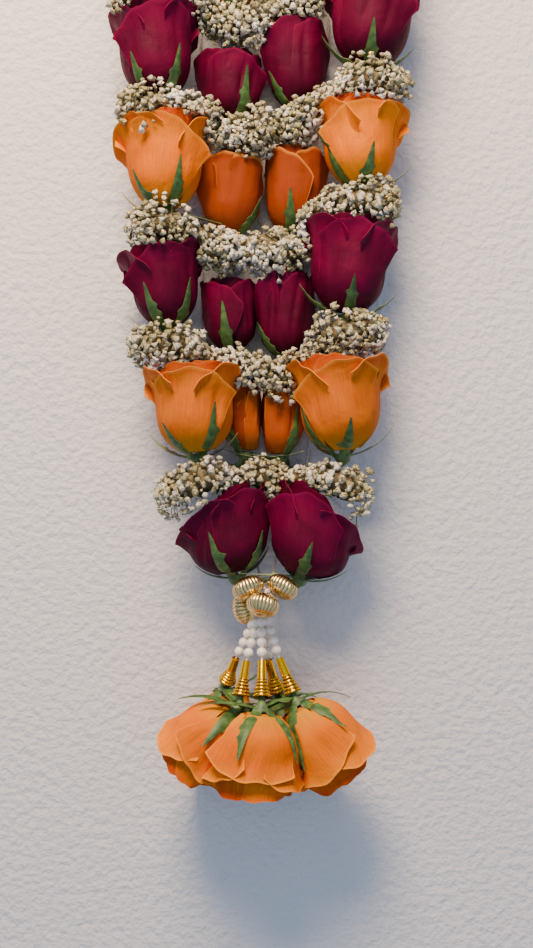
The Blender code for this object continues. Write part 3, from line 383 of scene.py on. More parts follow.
def petal_material(name, foot, body, shade, rim, blush, tip, gloss):
    """Rose petal: a thin soft blade with a velvety skin. Fine veins run up it from a paler foot, its
    rim is painted paler as a thin line of highlight, the petals deeper in the rose are painted
    darker as shade, and its upper parts are blushed."""
    made, tree, place = new_material(name)
    blade = add(tree, "Attribute", out="Vector", attribute_name="blade")
    tone = add(tree, "Attribute", out="Fac", attribute_name="tone")
    height = add(tree, "SeparateXYZ", {"Vector": blade}, out="Y")
    edge = height.node.outputs["Z"]
    colour = add(tree, "ValToRGB", {"Fac": height},
                 ((0.04, foot), (0.28, body), (0.6, body), (0.85, blush), (1, tip)))
    across = add(tree, "VectorMath", {0: blade, 1: (26, 3, 0)}, operation="MULTIPLY")
    veins = add(tree, "TexNoise", {"Vector": across, "Scale": 1, "Detail": 4, "Roughness": 0.65})
    cloud = add(tree, "TexNoise", {"Vector": place, "Scale": size(14), "Detail": 3})
    layers = (
        (shade, {"Value": veins, "From Min": 0.4, "From Max": 0.8, "To Max": 0.45}),
        (blush, {"Value": cloud, "From Min": 0.45, "From Max": 0.75, "To Max": 0.55}),
        # Painted shade: the tone mark darkens the petals deeper in the rose, the inner roses and the bud,
        # on top of a random tone per petal
        (shade, {"Value": tone, "To Max": 0.9}),
        # Painted highlight: a thin pale line along the rim
        (rim, {"Value": edge, "From Min": 0.6, "To Max": 0.5}),
    )
    for code, span in layers:
        share = add(tree, "MapRange", span)
        colour = add(tree, "Mix", {0: share, 6: colour, 7: code}, out=2, data_type="RGBA")
    crumple = add(tree, "TexNoise", {"Vector": place, "Scale": size(16), "Detail": 3,
                                     "Roughness": 0.5, "Distortion": 0.4})
    wrinkles = add(tree, "Bump", {"Height": crumple, "Strength": 0.3, "Distance": 0.004})
    relief = add(tree, "Bump", {"Height": veins, "Strength": 0.35, "Distance": 0.0004,
                                "Normal": wrinkles})
    return finish_material(made, colour, relief, Roughness=0.58, Specular_IOR_Level=gloss,
                           Subsurface_Weight=0.08, Subsurface_Radius=(1, 0.3, 0.1),
                           Subsurface_Scale=0.002)


def calyx_material():
    """Rose sepal and stem: leathery green skin, paler and mottled, with fine veins."""
    made, tree, place = new_material("rose_sepal_skin")
    tone = add(tree, "Attribute", out="Fac", attribute_name="tone")
    cloud = add(tree, "TexNoise", {"Vector": place, "Scale": size(3.8), "Detail": 4})
    ramp = add(tree, "ValToRGB", {"Fac": cloud}, ((0.3, "#2A481C"), (0.5, "#3E6228"), (0.75, "#5E8440")))
    pale = add(tree, "Mix", {0: tone, 6: ramp, 7: "#A9B987"}, out=2, data_type="RGBA")
    fine = add(tree, "TexNoise", {"Vector": place, "Scale": size(0.7), "Detail": 2})
    relief = add(tree, "Bump", {"Height": fine, "Strength": 0.3, "Distance": 0.0003})
    return finish_material(made, pale, relief, Roughness=0.5, Subsurface_Weight=0.05,
                           Subsurface_Scale=0.001)


def floret_material():
    """Dried baby's breath: papery cream florets dusted with gold glitter, painted darker as shade at
    their backs and hearts and deeper in the cloud.
    """
    made, tree, place = new_material("dried_babys_breath_floret")
    tone = add(tree, "Attribute", out="Fac", attribute_name="tone")
    # The depth mark is painted shade: darker at each floret's back and heart and deeper in the cloud
    depth = add(tree, "Attribute", out="Fac", attribute_name="depth")
    ramp = add(tree, "ValToRGB", {"Fac": tone},
               ((0, "#928F68"), (0.3, "#C0BC96"), (0.65, "#E0DEC8"), (1, "#FAF9EC")))
    painted_floret_shade = add(tree, "Mix", {0: depth, 6: "#807A4E", 7: ramp}, out=2, data_type="RGBA")
    grains = add(tree, "TexVoronoi", {"Vector": place, "Scale": size(0.9)}, out="Distance")
    pick = add(tree, "SeparateColor", {"Color": grains.node.outputs["Color"]})
    glitter = add(tree, "Math", {0: pick, 1: 0.93}, operation="GREATER_THAN")
    dusted = add(tree, "Mix", {0: glitter, 6: painted_floret_shade, 7: "#E0B040"}, out=2, data_type="RGBA")
    rough = add(tree, "MapRange", {"Value": glitter, "To Min": 0.8, "To Max": 0.3})
    relief = add(tree, "Bump", {"Height": grains, "Strength": 0.8, "Distance": 0.0008})
    return finish_material(made, dusted, relief, Roughness=rough, Metallic=glitter)


def gold_material(name, dark, bright, roughness, mm):
    """Gold plating on a moulded or turned bead: bright metal, painted darker in its grooves and bore
    as shade, whose gloss varies over patches of some mm."""
    made, tree, place = new_material(name)
    depth = add(tree, "Attribute", out="Fac", attribute_name="depth")
    # Painted shade: the depth mark darkens the grooves and the bore
    painted_groove_shade = add(tree, "Mix", {0: depth, 6: dark, 7: bright}, out=2, data_type="RGBA")
    cloud = add(tree, "TexNoise", {"Vector": place, "Scale": size(mm), "Detail": 3})
    rough = add(tree, "MapRange", {"Value": cloud, "To Min": roughness * 0.7,
                                   "To Max": roughness * 1.5})
    return finish_material(made, painted_groove_shade, Metallic=1, Roughness=rough)


def mottled_material(name, mm, detail, stops, relief=None, **values):
    """A finish that runs between two colours in patches of some mm. Its relief, where it has one,
    is the strength and height of a bump on the same patches."""
    made, tree, place = new_material(name)
    cloud = add(tree, "TexNoise", {"Vector": place, "Scale": size(mm), "Detail": detail})
    ramp = add(tree, "ValToRGB", {"Fac": cloud}, stops)
    if relief:
        relief = add(tree, "Bump", {"Height": cloud, "Strength": relief[0], "Distance": relief[1]})
    return finish_material(made, ramp, relief, **values)


def floor_material():
    """Plain pale floor, painted with a roller, which leaves soft pits a few mm apart."""
    made, tree, place = new_material("pale_floor_paint")
    grain = add(tree, "TexNoise", {"Vector": place, "Scale": size(4.5), "Detail": 3})
    relief = add(tree, "Bump", {"Height": grain, "Strength": 0.5, "Distance": 0.004})
    return finish_material(made, "#E3E3DF", relief, Roughness=0.85)


def put(name, data):
    """A new object in the scene, at its origin."""
    made = bpy.data.objects.new(name, data)
    bpy.context.scene.collection.objects.link(made)
    return made


def place_camera():
    """Straight above the middle of the picture, with its top towards the garland's top."""
    lens = bpy.data.cameras.new("camera")
    lens.sensor_width = LONG_SIDE
    lens.lens = LENS
    lens.clip_start = 0.01
    lens.clip_end = 20
    camera = put("camera", lens)
    camera.location = (PLACE[0] * MM, PLACE[1] * MM, CAMERA_HEIGHT)
    bpy.context.scene.camera = camera


def light_scene():
    """One large warm light from above the garland's top, a small one nearer and an even sky."""
    for name, place, power, colour in LIGHTS:
        lamp = bpy.data.lights.new(name, "AREA")
        lamp.size = LIGHT_SIDE
        lamp.energy = power
        lamp.color = linear(colour)[:3]
        made = put(name, lamp)
        made.location = place
        made.rotation_euler = (LIGHT_AIM - Vector(place)).to_track_quat("-Z", "Y").to_euler()
    world = bpy.data.worlds.new("studio")
    bpy.context.scene.world = world
    world.use_nodes = True
    tree = world.node_tree
    tree.nodes.clear()
    place = add(tree, "TexCoord", out="Generated")
    rise = add(tree, "SeparateXYZ", {"Vector": place}, out="Z")
    ramp = add(tree, "ValToRGB", {"Fac": rise}, SKY)
    sky = add(tree, "Background", {"Color": ramp, "Strength": SKY_STRENGTH})
    add(tree, "OutputWorld", {"Surface": sky})


def lay_floor():
    """A square floor under the garland."""
    corners = [(x * FLOOR_HALF, y * FLOOR_HALF, 0) for x, y in ((-1, -1), (1, -1), (1, 1), (-1, 1))]
    mesh = bpy.data.meshes.new("floor")
    mesh.from_pydata(corners, [], [(0, 1, 2, 3)])
    mesh.materials.append(floor_material())
    floor = put("floor", mesh)


Form = namedtuple("Form", "points faces marks")


def joined(forms):
    """Several forms as one: faces shifted by the points before them, marks end to end."""
    forms = list(forms)
    shift = 0
    faces = []
    for form in forms:
        faces += [block + shift for block in form.faces]
        shift += len(form.points)
    marks = {name: np.concatenate([form.marks[name] for form in forms]) for name in forms[0].marks}
    return Form(np.concatenate([form.points for form in forms]), faces, marks)


def piece(name, form, skin, slot, *nodes, crease=62):
    """A finished piece in the frame: points in mm become a mesh that replaces its CAD nodes. An
    edge shows sharp where it bends by more than crease, in degrees."""
    mesh = bpy.data.meshes.new(name)
    counts = np.concatenate([np.full(len(block), block.shape[1]) for block in form.faces])
    corners = np.concatenate([block.ravel() for block in form.faces])
    mesh.vertices.add(len(form.points))
    mesh.vertices.foreach_set("co", ((form.points + PLACE) * MM).astype(np.float32).ravel())
    mesh.loops.add(len(corners))
    mesh.loops.foreach_set("vertex_index", corners.astype(np.int32))
    mesh.polygons.add(len(counts))
    starts = np.r_[0, np.cumsum(counts)[:-1]]
    mesh.polygons.foreach_set("loop_start", starts.astype(np.int32))
    mesh.update(calc_edges=True)
    for label, values in form.marks.items():
        kind, key = ("FLOAT_VECTOR", "vector") if values.ndim == 2 else ("FLOAT", "value")
        attribute = mesh.attributes.new(label, kind, "POINT")
        attribute.data.foreach_set(key, values.astype(np.float32).ravel())
    mesh.shade_smooth()
    mesh.set_sharp_from_angle(angle=math.radians(crease))
    mesh.materials.append(skin)
    made = put(name, mesh)
    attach(made, "root")
    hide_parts(*nodes)


def tree_of(form):
    """A search tree of a form's faces, in mm."""
    faces = [face for block in form.faces for face in block.tolist()]
    return BVHTree.FromPolygons(form.points.tolist(), faces)


def node_tree(name):
    """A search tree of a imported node's faces, in the table's mm."""
    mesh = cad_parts[name].data
    places = np.zeros(len(mesh.vertices) * 3)
    mesh.vertices.foreach_get("co", places)
    places = places.reshape(-1, 3) / MM - PLACE
    return BVHTree.FromPolygons(places.tolist(), [tuple(face.vertices) for face in mesh.polygons])


def unit(vectors):
    """Vectors of length 1 along the given ones."""
    return vectors / np.maximum(np.linalg.norm(vectors, axis=-1, keepdims=True), 1e-9)


def spokes(across, rise, angle):
    """Directions at some angles in the plane of two others, from the first towards the second."""
    return across * np.cos(angle)[..., None] + rise * np.sin(angle)[..., None]


def ease(value, low, high):
    """0 below low, 1 above high and smooth in between."""
    share = np.clip((value - low) / (high - low), 0, 1)
    return share * share * (3 - 2 * share)


def widening(share, full):
    """Width over a leaf's lower part: a root's share, and up a quarter of a sine wave to 1 at the
    share of the height where it is full."""
    return ROOT_WIDTH + (1 - ROOT_WIDTH) * np.sin(np.clip(share / full, 0, 1) * math.pi / 2)


def basis(axis):
    """Two directions square to an axis and the axis itself, as rows."""
    axis = unit(np.asarray(axis, float))
    across = unit(np.cross(axis, SKEW))
    return np.stack((across, np.cross(axis, across), axis))


def frames(path):
    """Directions along a path, across it and square to both, carried on without twist."""
    along = unit(np.gradient(path, axis=0))
    across = np.zeros_like(path)
    start = np.cross(along[0], SKEW)
    for stop in range(len(path)):
        start = start - along[stop] * start.dot(along[stop])
        start = start / np.linalg.norm(start)
        across[stop] = start
    return along, across, np.cross(along, across)


def circle(sides):
    """Angles of this many even steps round a circle."""
    return np.arange(sides) * TURN / sides


def ring_faces(rings, sides):
    """Walls between rings of points, and a fan that closes each end with a point of its own."""
    index = np.arange(rings * sides).reshape(rings, sides)
    turned_on = np.roll(index, -1, axis=1)
    walls = np.stack((index[:-1], turned_on[:-1], turned_on[1:], index[1:]), axis=-1).reshape(-1, 4)
    first = np.full(sides, rings * sides)
    caps = np.r_[np.stack((turned_on[0], index[0], first), axis=-1),
                 np.stack((index[-1], turned_on[-1], first + 1), axis=-1)]
    return [walls, caps]


def ring_form(rings, ends, marks):
    """A closed form from a grid of points, ring by ring, and the points that close its ends."""
    return Form(np.r_[rings.reshape(-1, 3), ends], ring_faces(*rings.shape[:2]), marks)


def leaf_shell(outer, wall, marks):
    """A closed thin leaf: an outer grid of points, the same grid set back along its normals by
    the wall's thickness, and a band of faces round the rim."""
    columns, rows = outer.shape[:2]
    normal = unit(np.cross(np.gradient(outer, axis=0), np.gradient(outer, axis=1)))
    inner = outer - normal * wall[..., None]
    index = np.arange(columns * rows).reshape(columns, rows)
    cells = np.stack((index[:-1, :-1], index[1:, :-1], index[1:, 1:], index[:-1, 1:]), axis=-1)
    front = cells.reshape(-1, 4)
    back = front[:, ::-1] + columns * rows
    loop = np.r_[index[:-1, 0], index[-1, :-1], index[:0:-1, -1], index[0, :0:-1]]
    after = np.roll(loop, -1)
    band = np.stack((after, loop, loop + columns * rows, after + columns * rows), axis=-1)
    doubled = {name: np.concatenate((mark.reshape((-1,) + mark.shape[2:]),) * 2)
               for name, mark in marks.items()}
    return Form(np.r_[outer.reshape(-1, 3), inner.reshape(-1, 3)], [np.r_[front, back, band]], doubled)


def swept(path, radii, sides, mark="depth", value=1.0):
    """A round bar along a path: a ring of points round each stop, closed by a point at each end,
    with one mark of one value."""
    path = np.asarray(path, float)
    radii = np.broadcast_to(np.asarray(radii, float), (len(path),))
    _, across, rise = frames(path)
    ring = spokes(across[:, None], rise[:, None], circle(sides))
    rings = path[:, None] + ring * radii[:, None, None]
    return ring_form(rings, path[[0, -1]], {mark: np.full(len(path) * sides + 2, value)})


def turned(radii, heights, sides, place, axis, swell=1.0, depth=1.0):
    """A closed form turned round an axis: rings of the given radii and heights, times a swell
    that may vary with ring and angle. Each end closes in one point on the axis."""
    angle = circle(sides)
    ring = radii[:, None] * np.broadcast_to(swell, (len(radii), sides))
    rings = np.stack((ring * np.cos(angle), ring * np.sin(angle),
                      np.broadcast_to(heights[:, None], ring.shape)), axis=-1)
    ends = [(0, 0, heights[0]), (0, 0, heights[-1])]
    shade = np.broadcast_to(depth, ring.shape)
    form = ring_form(rings, ends, {"depth": np.r_[shade.ravel(), shade[0, 0], shade[-1, 0]]})
    return form._replace(points=form.points @ basis(axis) + place)


def smooth_route(points, steps):
    """Points on a Catmull-Rom curve through the given ones."""
    points = np.asarray(points, float)
    ends = np.r_[2 * points[:1] - points[1:2], points, 2 * points[-1:] - points[-2:-1]]
    t = (np.arange(steps) / steps)[:, None]
    route = []
    for a, b, c, d in zip(ends, ends[1:], ends[2:], ends[3:]):
        route.append(0.5 * (2 * b + (c - a) * t + (2 * a - 5 * b + 4 * c - d) * t ** 2
                            + (3 * b - a - 3 * c + d) * t ** 3))
    route.append(points[-1:])
    return np.concatenate(route)


def spaced(route, step):
    """The same route with its points an even step apart, and how far along it each one lies."""
    run = np.r_[0, np.cumsum(np.linalg.norm(np.diff(route[:, :3], axis=0), axis=1))]
    stops = np.linspace(0, run[-1], int(run[-1] / step) + 1)
    columns = [np.interp(stops, run, route[:, k]) for k in range(route.shape[1])]
    return np.stack(columns, axis=-1), stops


def bowl(share):
    """Width of the cup at a share of the height: a rounded bowl that ends upright."""
    rise = np.clip(1 - share / BOWL_TOP, 0, 1)
    return 1 - (1 - BOWL_FOOT) * rise ** BOWL_POWER


class Rose:
    """Foot, axis and size of one rose, with the planes that its neighbours press on it."""

    def __init__(self, name, foot, mouth, radius, turn, roll, hand=1, twist=0, slant=1,
                 slim=0.95, short=1):
        self.name = name
        self.group = name[:6].rstrip("_")
        self.colour = "red" if self.group in RED_ROWS else "orange"
        self.full = "inner" not in name
        self.foot = np.array(foot, float)
        self.mouth = np.array(mouth, float)
        self.length = np.linalg.norm(self.mouth - self.foot)
        self.axis = (self.mouth - self.foot) / self.length
        self.middle = self.foot + self.axis * self.length * MIDDLE_HEIGHT
        self.front = unit(UP - self.axis * UP.dot(self.axis))
        self.side = np.cross(self.axis, self.front)
        self.radius = radius
        self.turn = math.radians(turn)
        self.roll = math.radians(roll)
        self.drop = MOUTH_DROPS.get(name, 0)
        self.hand, self.twist, self.slant, self.slim, self.short = hand, twist, slant, slim, short
        self.planes = [(UP * SEATED.get(name, FLOOR_GAP), -UP)]

    def mouth_share(self, angle):
        """Height left on the side to which the mouth drops."""
        low_side = (0.5 + 0.5 * math.copysign(1, self.drop * self.axis[1]) * np.sin(angle)) ** 2
        return 1 - abs(self.drop) * low_side

    def press(self, other):
        """A rose keeps to its own side of a plane between it and its neighbour."""
        apart = other.middle - self.middle
        mean_axis = unit(self.axis + other.axis)
        apart = apart - mean_axis * apart.dot(mean_axis)
        share = self.radius / (self.radius + other.radius)
        normal = unit(apart)
        self.planes.append((self.middle + apart * share - normal * PETAL_GAP / 2, normal))

    def envelope(self, height):
        """Largest radius of the rose at a share of its height."""
        lip = np.clip((height - 1 + PETAL_LIP) / PETAL_LIP, 0, 1)
        roll = self.roll * 1.15
        out = PETAL_LIP * self.length * (1 - np.cos(roll * lip)) / roll
        return self.radius * bowl(height) + SPIRAL + out

    def squeeze(self, angle, radius, height):
        """Draw the radius in where a pressing plane is nearer than the rose's envelope."""
        envelope = self.envelope(np.clip(height / self.length, 0, 1))
        factor = np.ones_like(radius)
        for place, normal in self.planes:
            along = normal.dot(self.axis)
            across = normal.dot(self.front) * np.cos(angle) + normal.dot(self.side) * np.sin(angle)
            room = (place - self.foot).dot(normal) - along * height
            reach = np.where(across > 0.05, room / np.maximum(across, 0.05), 1e3)
            factor = np.minimum(factor, np.clip(reach / envelope, LEAST_SQUEEZE, 1))
        return radius * factor

    def holds(self, places):
        """Whether each place lies among the rose's petals."""
        height = (places - self.foot) @ self.axis
        away = np.linalg.norm(places - self.foot - self.axis * height[:, None], axis=1)
        share = height / self.length
        reach = self.envelope(np.clip(share, 0, 1)) * ROSE_KEEP
        return (share > 0) & (share < ROSE_TOP) & (away < reach)

    def world(self, angle, radius, height):
        """Points from an angle, a radius and a height on the rose's own axis."""
        spoke = spokes(self.front, self.side, angle)
        return self.foot + spoke * radius[..., None] + self.axis * height[..., None]


def petal_form(rose, petal, rng, painted_shade):
    """A petal. Its foot follows the bowl, and the band below its rim rolls out on an arc, more
    towards the two sides than at the middle, so that the rim ends in a soft point. One edge is
    tucked in and the other stands out and flares. The petal leans round the rose as it rises,
    folds run up it, and its rim slants and waves a little."""
    u, v = np.meshgrid(np.linspace(-1, 1, petal.cells + 1),
                       np.linspace(0, 1, petal.rows + 1) ** ROW_CROWDING, indexing="ij")
    phase = rng.uniform(0, TURN, 4)
    hand = rose.hand
    rim = petal.height * (1 - PETAL_FALL * np.abs(u) ** RIM_POWER)
    if petal.start < OUTER_START:
        rim = rim * (1 - (1 - rose.short) * math.cos(math.radians(petal.turn / 2)) ** 1.5)
    rim += petal.slant * rose.slant * u * hand + PETAL_POINT * petal.roll * np.exp(-(u / POINT_WIDTH) ** 2)
    rim += 0.012 * np.sin(5 * u + phase[0]) + 0.010 * np.sin(11 * u + phase[1])
    rim = np.minimum(rim, PETAL_TOP)
    share = petal.start + (rim - petal.start) * v
    turn = petal.turn * hand + rose.twist + petal.lean * hand * (share - LEAN_PIVOT) * 2
    turn = turn + petal.half * u * widening(share, 0.5) + rng.uniform(-PETAL_JITTER, PETAL_JITTER)
    angle = rose.turn + np.radians(turn)
    lip = np.clip((share - rim + PETAL_LIP) / PETAL_LIP, 0, 1.15)
    roll = max(rose.roll * petal.roll, 0.05) * (0.65 + 0.4 * np.abs(u) ** 1.6)
    lip_length = PETAL_LIP * rose.length
    free = u * math.copysign(1, petal.spiral) * hand
    tuck = SPIRAL * abs(petal.spiral) * free * (0.2 + 0.8 * np.clip((share - 0.14) / 0.4, 0, 1))
    width = petal.width * (rose.slim + (1 - rose.slim) * ease(share, 0.2, 1))
    radius = rose.radius * width * bowl(share) * (1 - petal.close * ease(share, 0.6, 1))
    radius += tuck + lip_length * (1 - np.cos(roll * lip)) / roll
    rise = rose.length * (np.minimum(share, rim - PETAL_LIP)) + lip_length * np.sin(roll * lip) / roll
    rise = rise * rose.mouth_share(angle)
    folds = np.zeros_like(u)
    for _ in range(PETAL_FOLDS):
        line = rng.uniform(-0.8, 0.8) + rng.uniform(-0.3, 0.3) * (share - 0.5)
        folds += rng.uniform(*FOLD_DEPTHS) * np.exp(-((u - line) / rng.uniform(*FOLD_WIDTHS)) ** 2)
    radius += folds * ease(share, 0.15, 0.45) * (1 - 0.7 * ease(lip, 0.2, 1))
    radius += BROAD_WAVE * np.sin(3 * u + phase[2]) * ease(share, 0.2, 0.6)
    radius += petal.flare * ease(free, 0.68, 1) * ease(share, 0.3, 0.7)
    radius += RUFFLE * np.sin(6 * u + phase[3]) * ease(v, 0.75, 1) * petal.roll
    radius = rose.squeeze(angle, radius, rise)
    points = rose.world(angle, radius, rise)
    points[..., 2] = np.maximum(points[..., 2], 0.02)
    edge = np.maximum(v, (np.abs(u) - 0.5) * 2 * ease(v, 0.1, 0.5))
    wall = PETAL_RIM + (PETAL_WALL - PETAL_RIM) * (1 - ease(edge, 0.6, 1))
    marks = {
        # blade: across, share of the height, and the mask of the rim's painted highlight
        "blade": np.stack((u + petal.turn, share, ease(edge, 0.9, 1) * petal.width), axis=-1),
        # Painted shade of the petal's layer and rose, plus a random tone
        "tone": np.full(u.shape, painted_shade + rng.uniform(0, TONE_SPREAD)),
    }
    return leaf_shell(points, wall, marks)


def rose_bud(rose, painted_shade):
    """The closed bud that the petals wrap: rings of the profile's radii at its heights, drawn in
    where a neighbour presses, with a point on the axis at each end."""
    share, width = np.array(BUD_PROFILE).T
    rise, angle = np.meshgrid(share * rose.length, circle(BUD_SIDES), indexing="ij")
    radius = rose.squeeze(angle, np.broadcast_to((width * rose.radius)[:, None], rise.shape), rise)
    ends = rose.foot + rose.axis * rise[(0, -1), 0][:, None]
    height = np.r_[rise.ravel(), rise[0, 0], rise[-1, 0]] / rose.length
    # The bud's tone is painted shade
    marks = {"blade": np.outer(height, (0, 1, 0)), "tone": np.full(len(height), painted_shade)}
    return ring_form(rose.world(angle, radius, rise), ends, marks)


def rose_petals(rose):
    """All petals of a rose, from the outer ones to the rolled heart, and the bud inside them."""
    rng = np.random.default_rng(sum(rose.name.encode()))
    # Painted shade: the inner roses are darker, and each layer nearer the heart darker still
    painted_shade = 0.0 if rose.full else INNER_PAINTED_SHADE[rose.colour]
    forms = [petal_form(rose, petal, rng, painted_shade + deeper)
             for deeper, layer in PETALS.items() for petal in layer]
    return joined(forms + [rose_bud(rose, painted_shade + BUD_SHADE)])


def bead(middle, axis):
    """A melon bead: an oblate shell whose rounded ridges meet in sharp grooves from pole to pole.
    Its bore opens in a funnel at each pole."""
    latitude = np.radians(np.linspace(-BEAD_POLE, BEAD_POLE, BEAD_ROWS))
    belt = np.cos(latitude) ** 0.8
    radii = np.r_[BEAD_BORE_RADIUS, BEAD_RADIUS * belt, BEAD_BORE_RADIUS]
    heights = BEAD_HALF_HEIGHT * np.sin(latitude)
    heights = np.r_[heights[0] + BEAD_FUNNEL, heights, heights[-1] - BEAD_FUNNEL]
    sides = BEAD_RIDGES * 6
    crest = np.abs(np.cos(circle(sides) * BEAD_RIDGES / 2)) ** 0.6
    reach = np.r_[0, belt, 0][:, None]
    # The depth mark paints shade into the grooves and at the poles
    return turned(radii, heights, sides, middle, axis, 1 - BEAD_GROOVE * (1 - crest) * reach,
                  0.15 + 0.85 * crest * np.minimum(reach * 1.6, 1))


def cone(tip, base):
    """A turned cap. From its bore's end the profile runs down the bore, across the foot and up
    the outside, where rounded rings follow each other on the flare, to the tip."""
    length = np.linalg.norm(tip - base)
    up = np.linspace(0, 1, CONE_ROWS)
    flare = np.clip(1 - up / (1 - CONE_NECK), 0, 1)
    outside = np.interp(up, (0, 1 - CONE_NECK, 1),
                        (CONE_BASE_RADIUS, CONE_NECK_RADIUS, CONE_TIP_RADIUS))
    groove = np.abs(np.sin(math.pi * CONE_RINGS * flare)) ** 0.7
    outside = outside - CONE_GROOVE * (1 - groove) * (flare > 0)
    radii = np.r_[CONE_BORE_RADIUS, CONE_BORE_RADIUS, CONE_BASE_RADIUS * 0.95, outside,
                  CONE_TIP_RADIUS * 0.6]
    heights = np.r_[CONE_BORE_DEPTH, 0, 0, up * length, length]
    # Painted shade: darker down the bore, across the foot and in the grooves between the rings
    shade = np.r_[0.1, 0.2, 0.6, np.where(flare > 0, 0.1 + 0.9 * groove, 1), 1]
    return turned(radii, heights, CONE_SIDES, base, tip - base, 1, shade[:, None])


def pearl(middle, axis):
    """A round bead: a sphere of even latitudes."""
    latitude = np.linspace(-0.47, 0.47, PEARL_ROWS) * math.pi
    return turned(PEARL_RADIUS * np.cos(latitude), PEARL_RADIUS * np.sin(latitude), PEARL_SIDES,
                  middle, axis)


def thread(route):
    """A thin round thread along a route."""
    return swept(route, THREAD_RADIUS, THREAD_SIDES)


def tied_knot(place, radius, thickness):
    """A knot: loops of thread that cross one another round a point."""
    turn = np.linspace(0, TURN, 19)
    loops = []
    for tilt in KNOT_TILTS:
        across, rise, _ = basis(tilt)
        loop = place + spokes(across, rise, turn) * (radius - thickness)
        loops.append(swept(loop, thickness, THREAD_SIDES))
    return loops


def pearl_strings():
    """Pearls side by side on a thread from each cone's tip to the fan, the threads of the beads,
    and the two knots that hold them."""
    pearls = []
    threads = tied_knot(KNOT, KNOT_RADIUS, THREAD_RADIUS) + tied_knot(FAN, KNOT_RADIUS, THREAD_RADIUS)
    threads.append(thread(np.linspace(KNOT, FAN, 4)))
    for tip, _ in CONES.values():
        run = unit(FAN - tip)
        start = tip + run * THREAD_GAP
        threads.append(thread(np.linspace(start, FAN, 6)))
        for k in range(PEARLS_A_STRING):
            pearls.append(pearl(start + run * (PEARL_LEAD + PEARL_PITCH * k), run))
    for place, held, axis in BEADS.values():
        inside, outside = (np.array(place) + unit(np.array(axis)) * (BEAD_HALF_HEIGHT + out)
                           for out in (-1, 1.5))
        threads.append(thread(smooth_route((held, outside, inside), 5)))
    return joined(pearls), joined(threads)


def garland_string():
    """Cotton string of three plies that wind round one another, up the left strand and down the
    right one, with a knot at the top."""
    centre, run = spaced(smooth_route(STRING_LEFT + STRING_RIGHT[::-1], 8), STRING_STEP)
    _, across, rise = frames(centre)
    plies = []
    for ply in range(PLIES):
        angle = TURN * ply / PLIES + run * TURN / STRING_TWIST
        path = centre + spokes(across, rise, angle) * (STRING_RADIUS - PLY_RADIUS)
        plies.append(swept(path, PLY_RADIUS, PLY_SIDES))
    return joined(plies + tied_knot(STRING_KNOT, STRING_KNOT_RADIUS, STRING_RADIUS))


def cup_and_stem(rose, bend, tie):
    """The swollen cup under a rose and its stem: a round bar whose route and radius run on one
    smooth curve from the flower's foot to the tie."""
    waist = CAPPED_WAIST if rose.group == "tassel" else CUP_WAIST
    stops = (rose.foot - rose.axis * CALYX_GAP, rose.foot - rose.axis * CUP_LENGTH * 0.45, bend, tie)
    radii = (CUP_RADIUS, CUP_RADIUS * waist, STEM_RADIUS, STEM_RADIUS)
    route = smooth_route(np.column_stack((stops, radii)), 7)
    return swept(route[:, :3], route[:, 3], 14, "tone", CUP_SHADE)


def sepal(route, away, rng):
    """A sepal along a route. It is widest a quarter of the way up, runs out in a long tip and has
    thin lobes at its sides, and its edges bend towards the flower like a gutter's."""
    along = unit(np.gradient(route, axis=0))
    across = unit(np.cross(along, away))
    facing = np.cross(across, along)
    s = np.linspace(0, 1, len(route))[None]
    w = np.linspace(-1, 1, SEPAL_CELLS + 1)[:, None]
    body = widening(s, 0.3) * (1 - 0.97 * s) ** 0.75
    lobes = 0
    for _ in range(2):
        side = rng.choice((-1, 1))
        place = rng.uniform(0.25, 0.6)
        lobes = lobes + SEPAL_LOBE * np.exp(-((s - place) / 0.05) ** 2) * (w * side > 0)
    half = SEPAL_WIDTH / 2 * body + lobes * np.abs(w) ** 2
    grid = route[None] + across[None] * (half * w)[..., None]
    grid = grid - facing[None] * (SEPAL_GUTTER * np.abs(half * w) * np.abs(w))[..., None]
    wall = SEPAL_WALL * (1 - 0.6 * np.abs(w)) * (1 - 0.5 * s)
    leaf = leaf_shell(grid, wall, {})
    back = np.zeros(len(leaf.points))
    back[grid.size // 3:] = SEPAL_BACK_SHADE
    return Form(leaf.points, leaf.faces, {"tone": back})


def hugging_route(rose, angle, length, tree):
    """A sepal's route up the petals. At each height a ray comes in from outside, and the route
    keeps just off the petal it meets, but for the tip, which stands away."""
    out = spokes(rose.front, rose.side, angle)
    share = np.linspace(0, 1, SEPAL_ROWS + 1)
    heights = -SEPAL_DROP + share * length * 0.95
    reach = []
    for height in heights:
        start = rose.foot + rose.axis * height + out * RAY_START
        found = tree.ray_cast(Vector(start), Vector(-out), RAY_LENGTH)
        reach.append((np.array(found[0]) - rose.foot).dot(out) if found[0] else 0)
    reach = np.maximum(np.array(reach), CUP_RADIUS * 0.9)
    soft = np.convolve(np.pad(reach, 2, mode="edge"), np.full(5, 0.2), mode="valid")
    reach = np.maximum.accumulate(np.maximum(soft, reach + 0.3)) + SEPAL_OFF
    reach += SEPAL_TIP_OFF * share ** 4
    return rose.foot + rose.axis * heights[:, None] + out * reach[:, None], out


def arching_route(rose, angle, length, lift, curl):
    """A sepal's route away from the flower: an arc that leaves the cup at a lift and bends by
    curl, both in radians."""
    out = spokes(rose.front, rose.side, angle)
    bend = lift + curl * np.linspace(0, 1, SEPAL_ROWS + 1)
    halfway = (bend[1:] + bend[:-1]) / 2
    step = length / SEPAL_ROWS
    along = np.r_[0, np.cumsum(np.cos(halfway) * step)]
    rise = np.r_[0, np.cumsum(np.sin(halfway) * step)]
    root = rose.foot + out * CUP_RADIUS * 0.7 - rose.axis * SEPAL_DROP
    route = root + out * along[:, None] + rose.axis * rise[:, None]
    return route, out * np.sin(bend)[:, None] - rose.axis * np.cos(bend)[:, None]


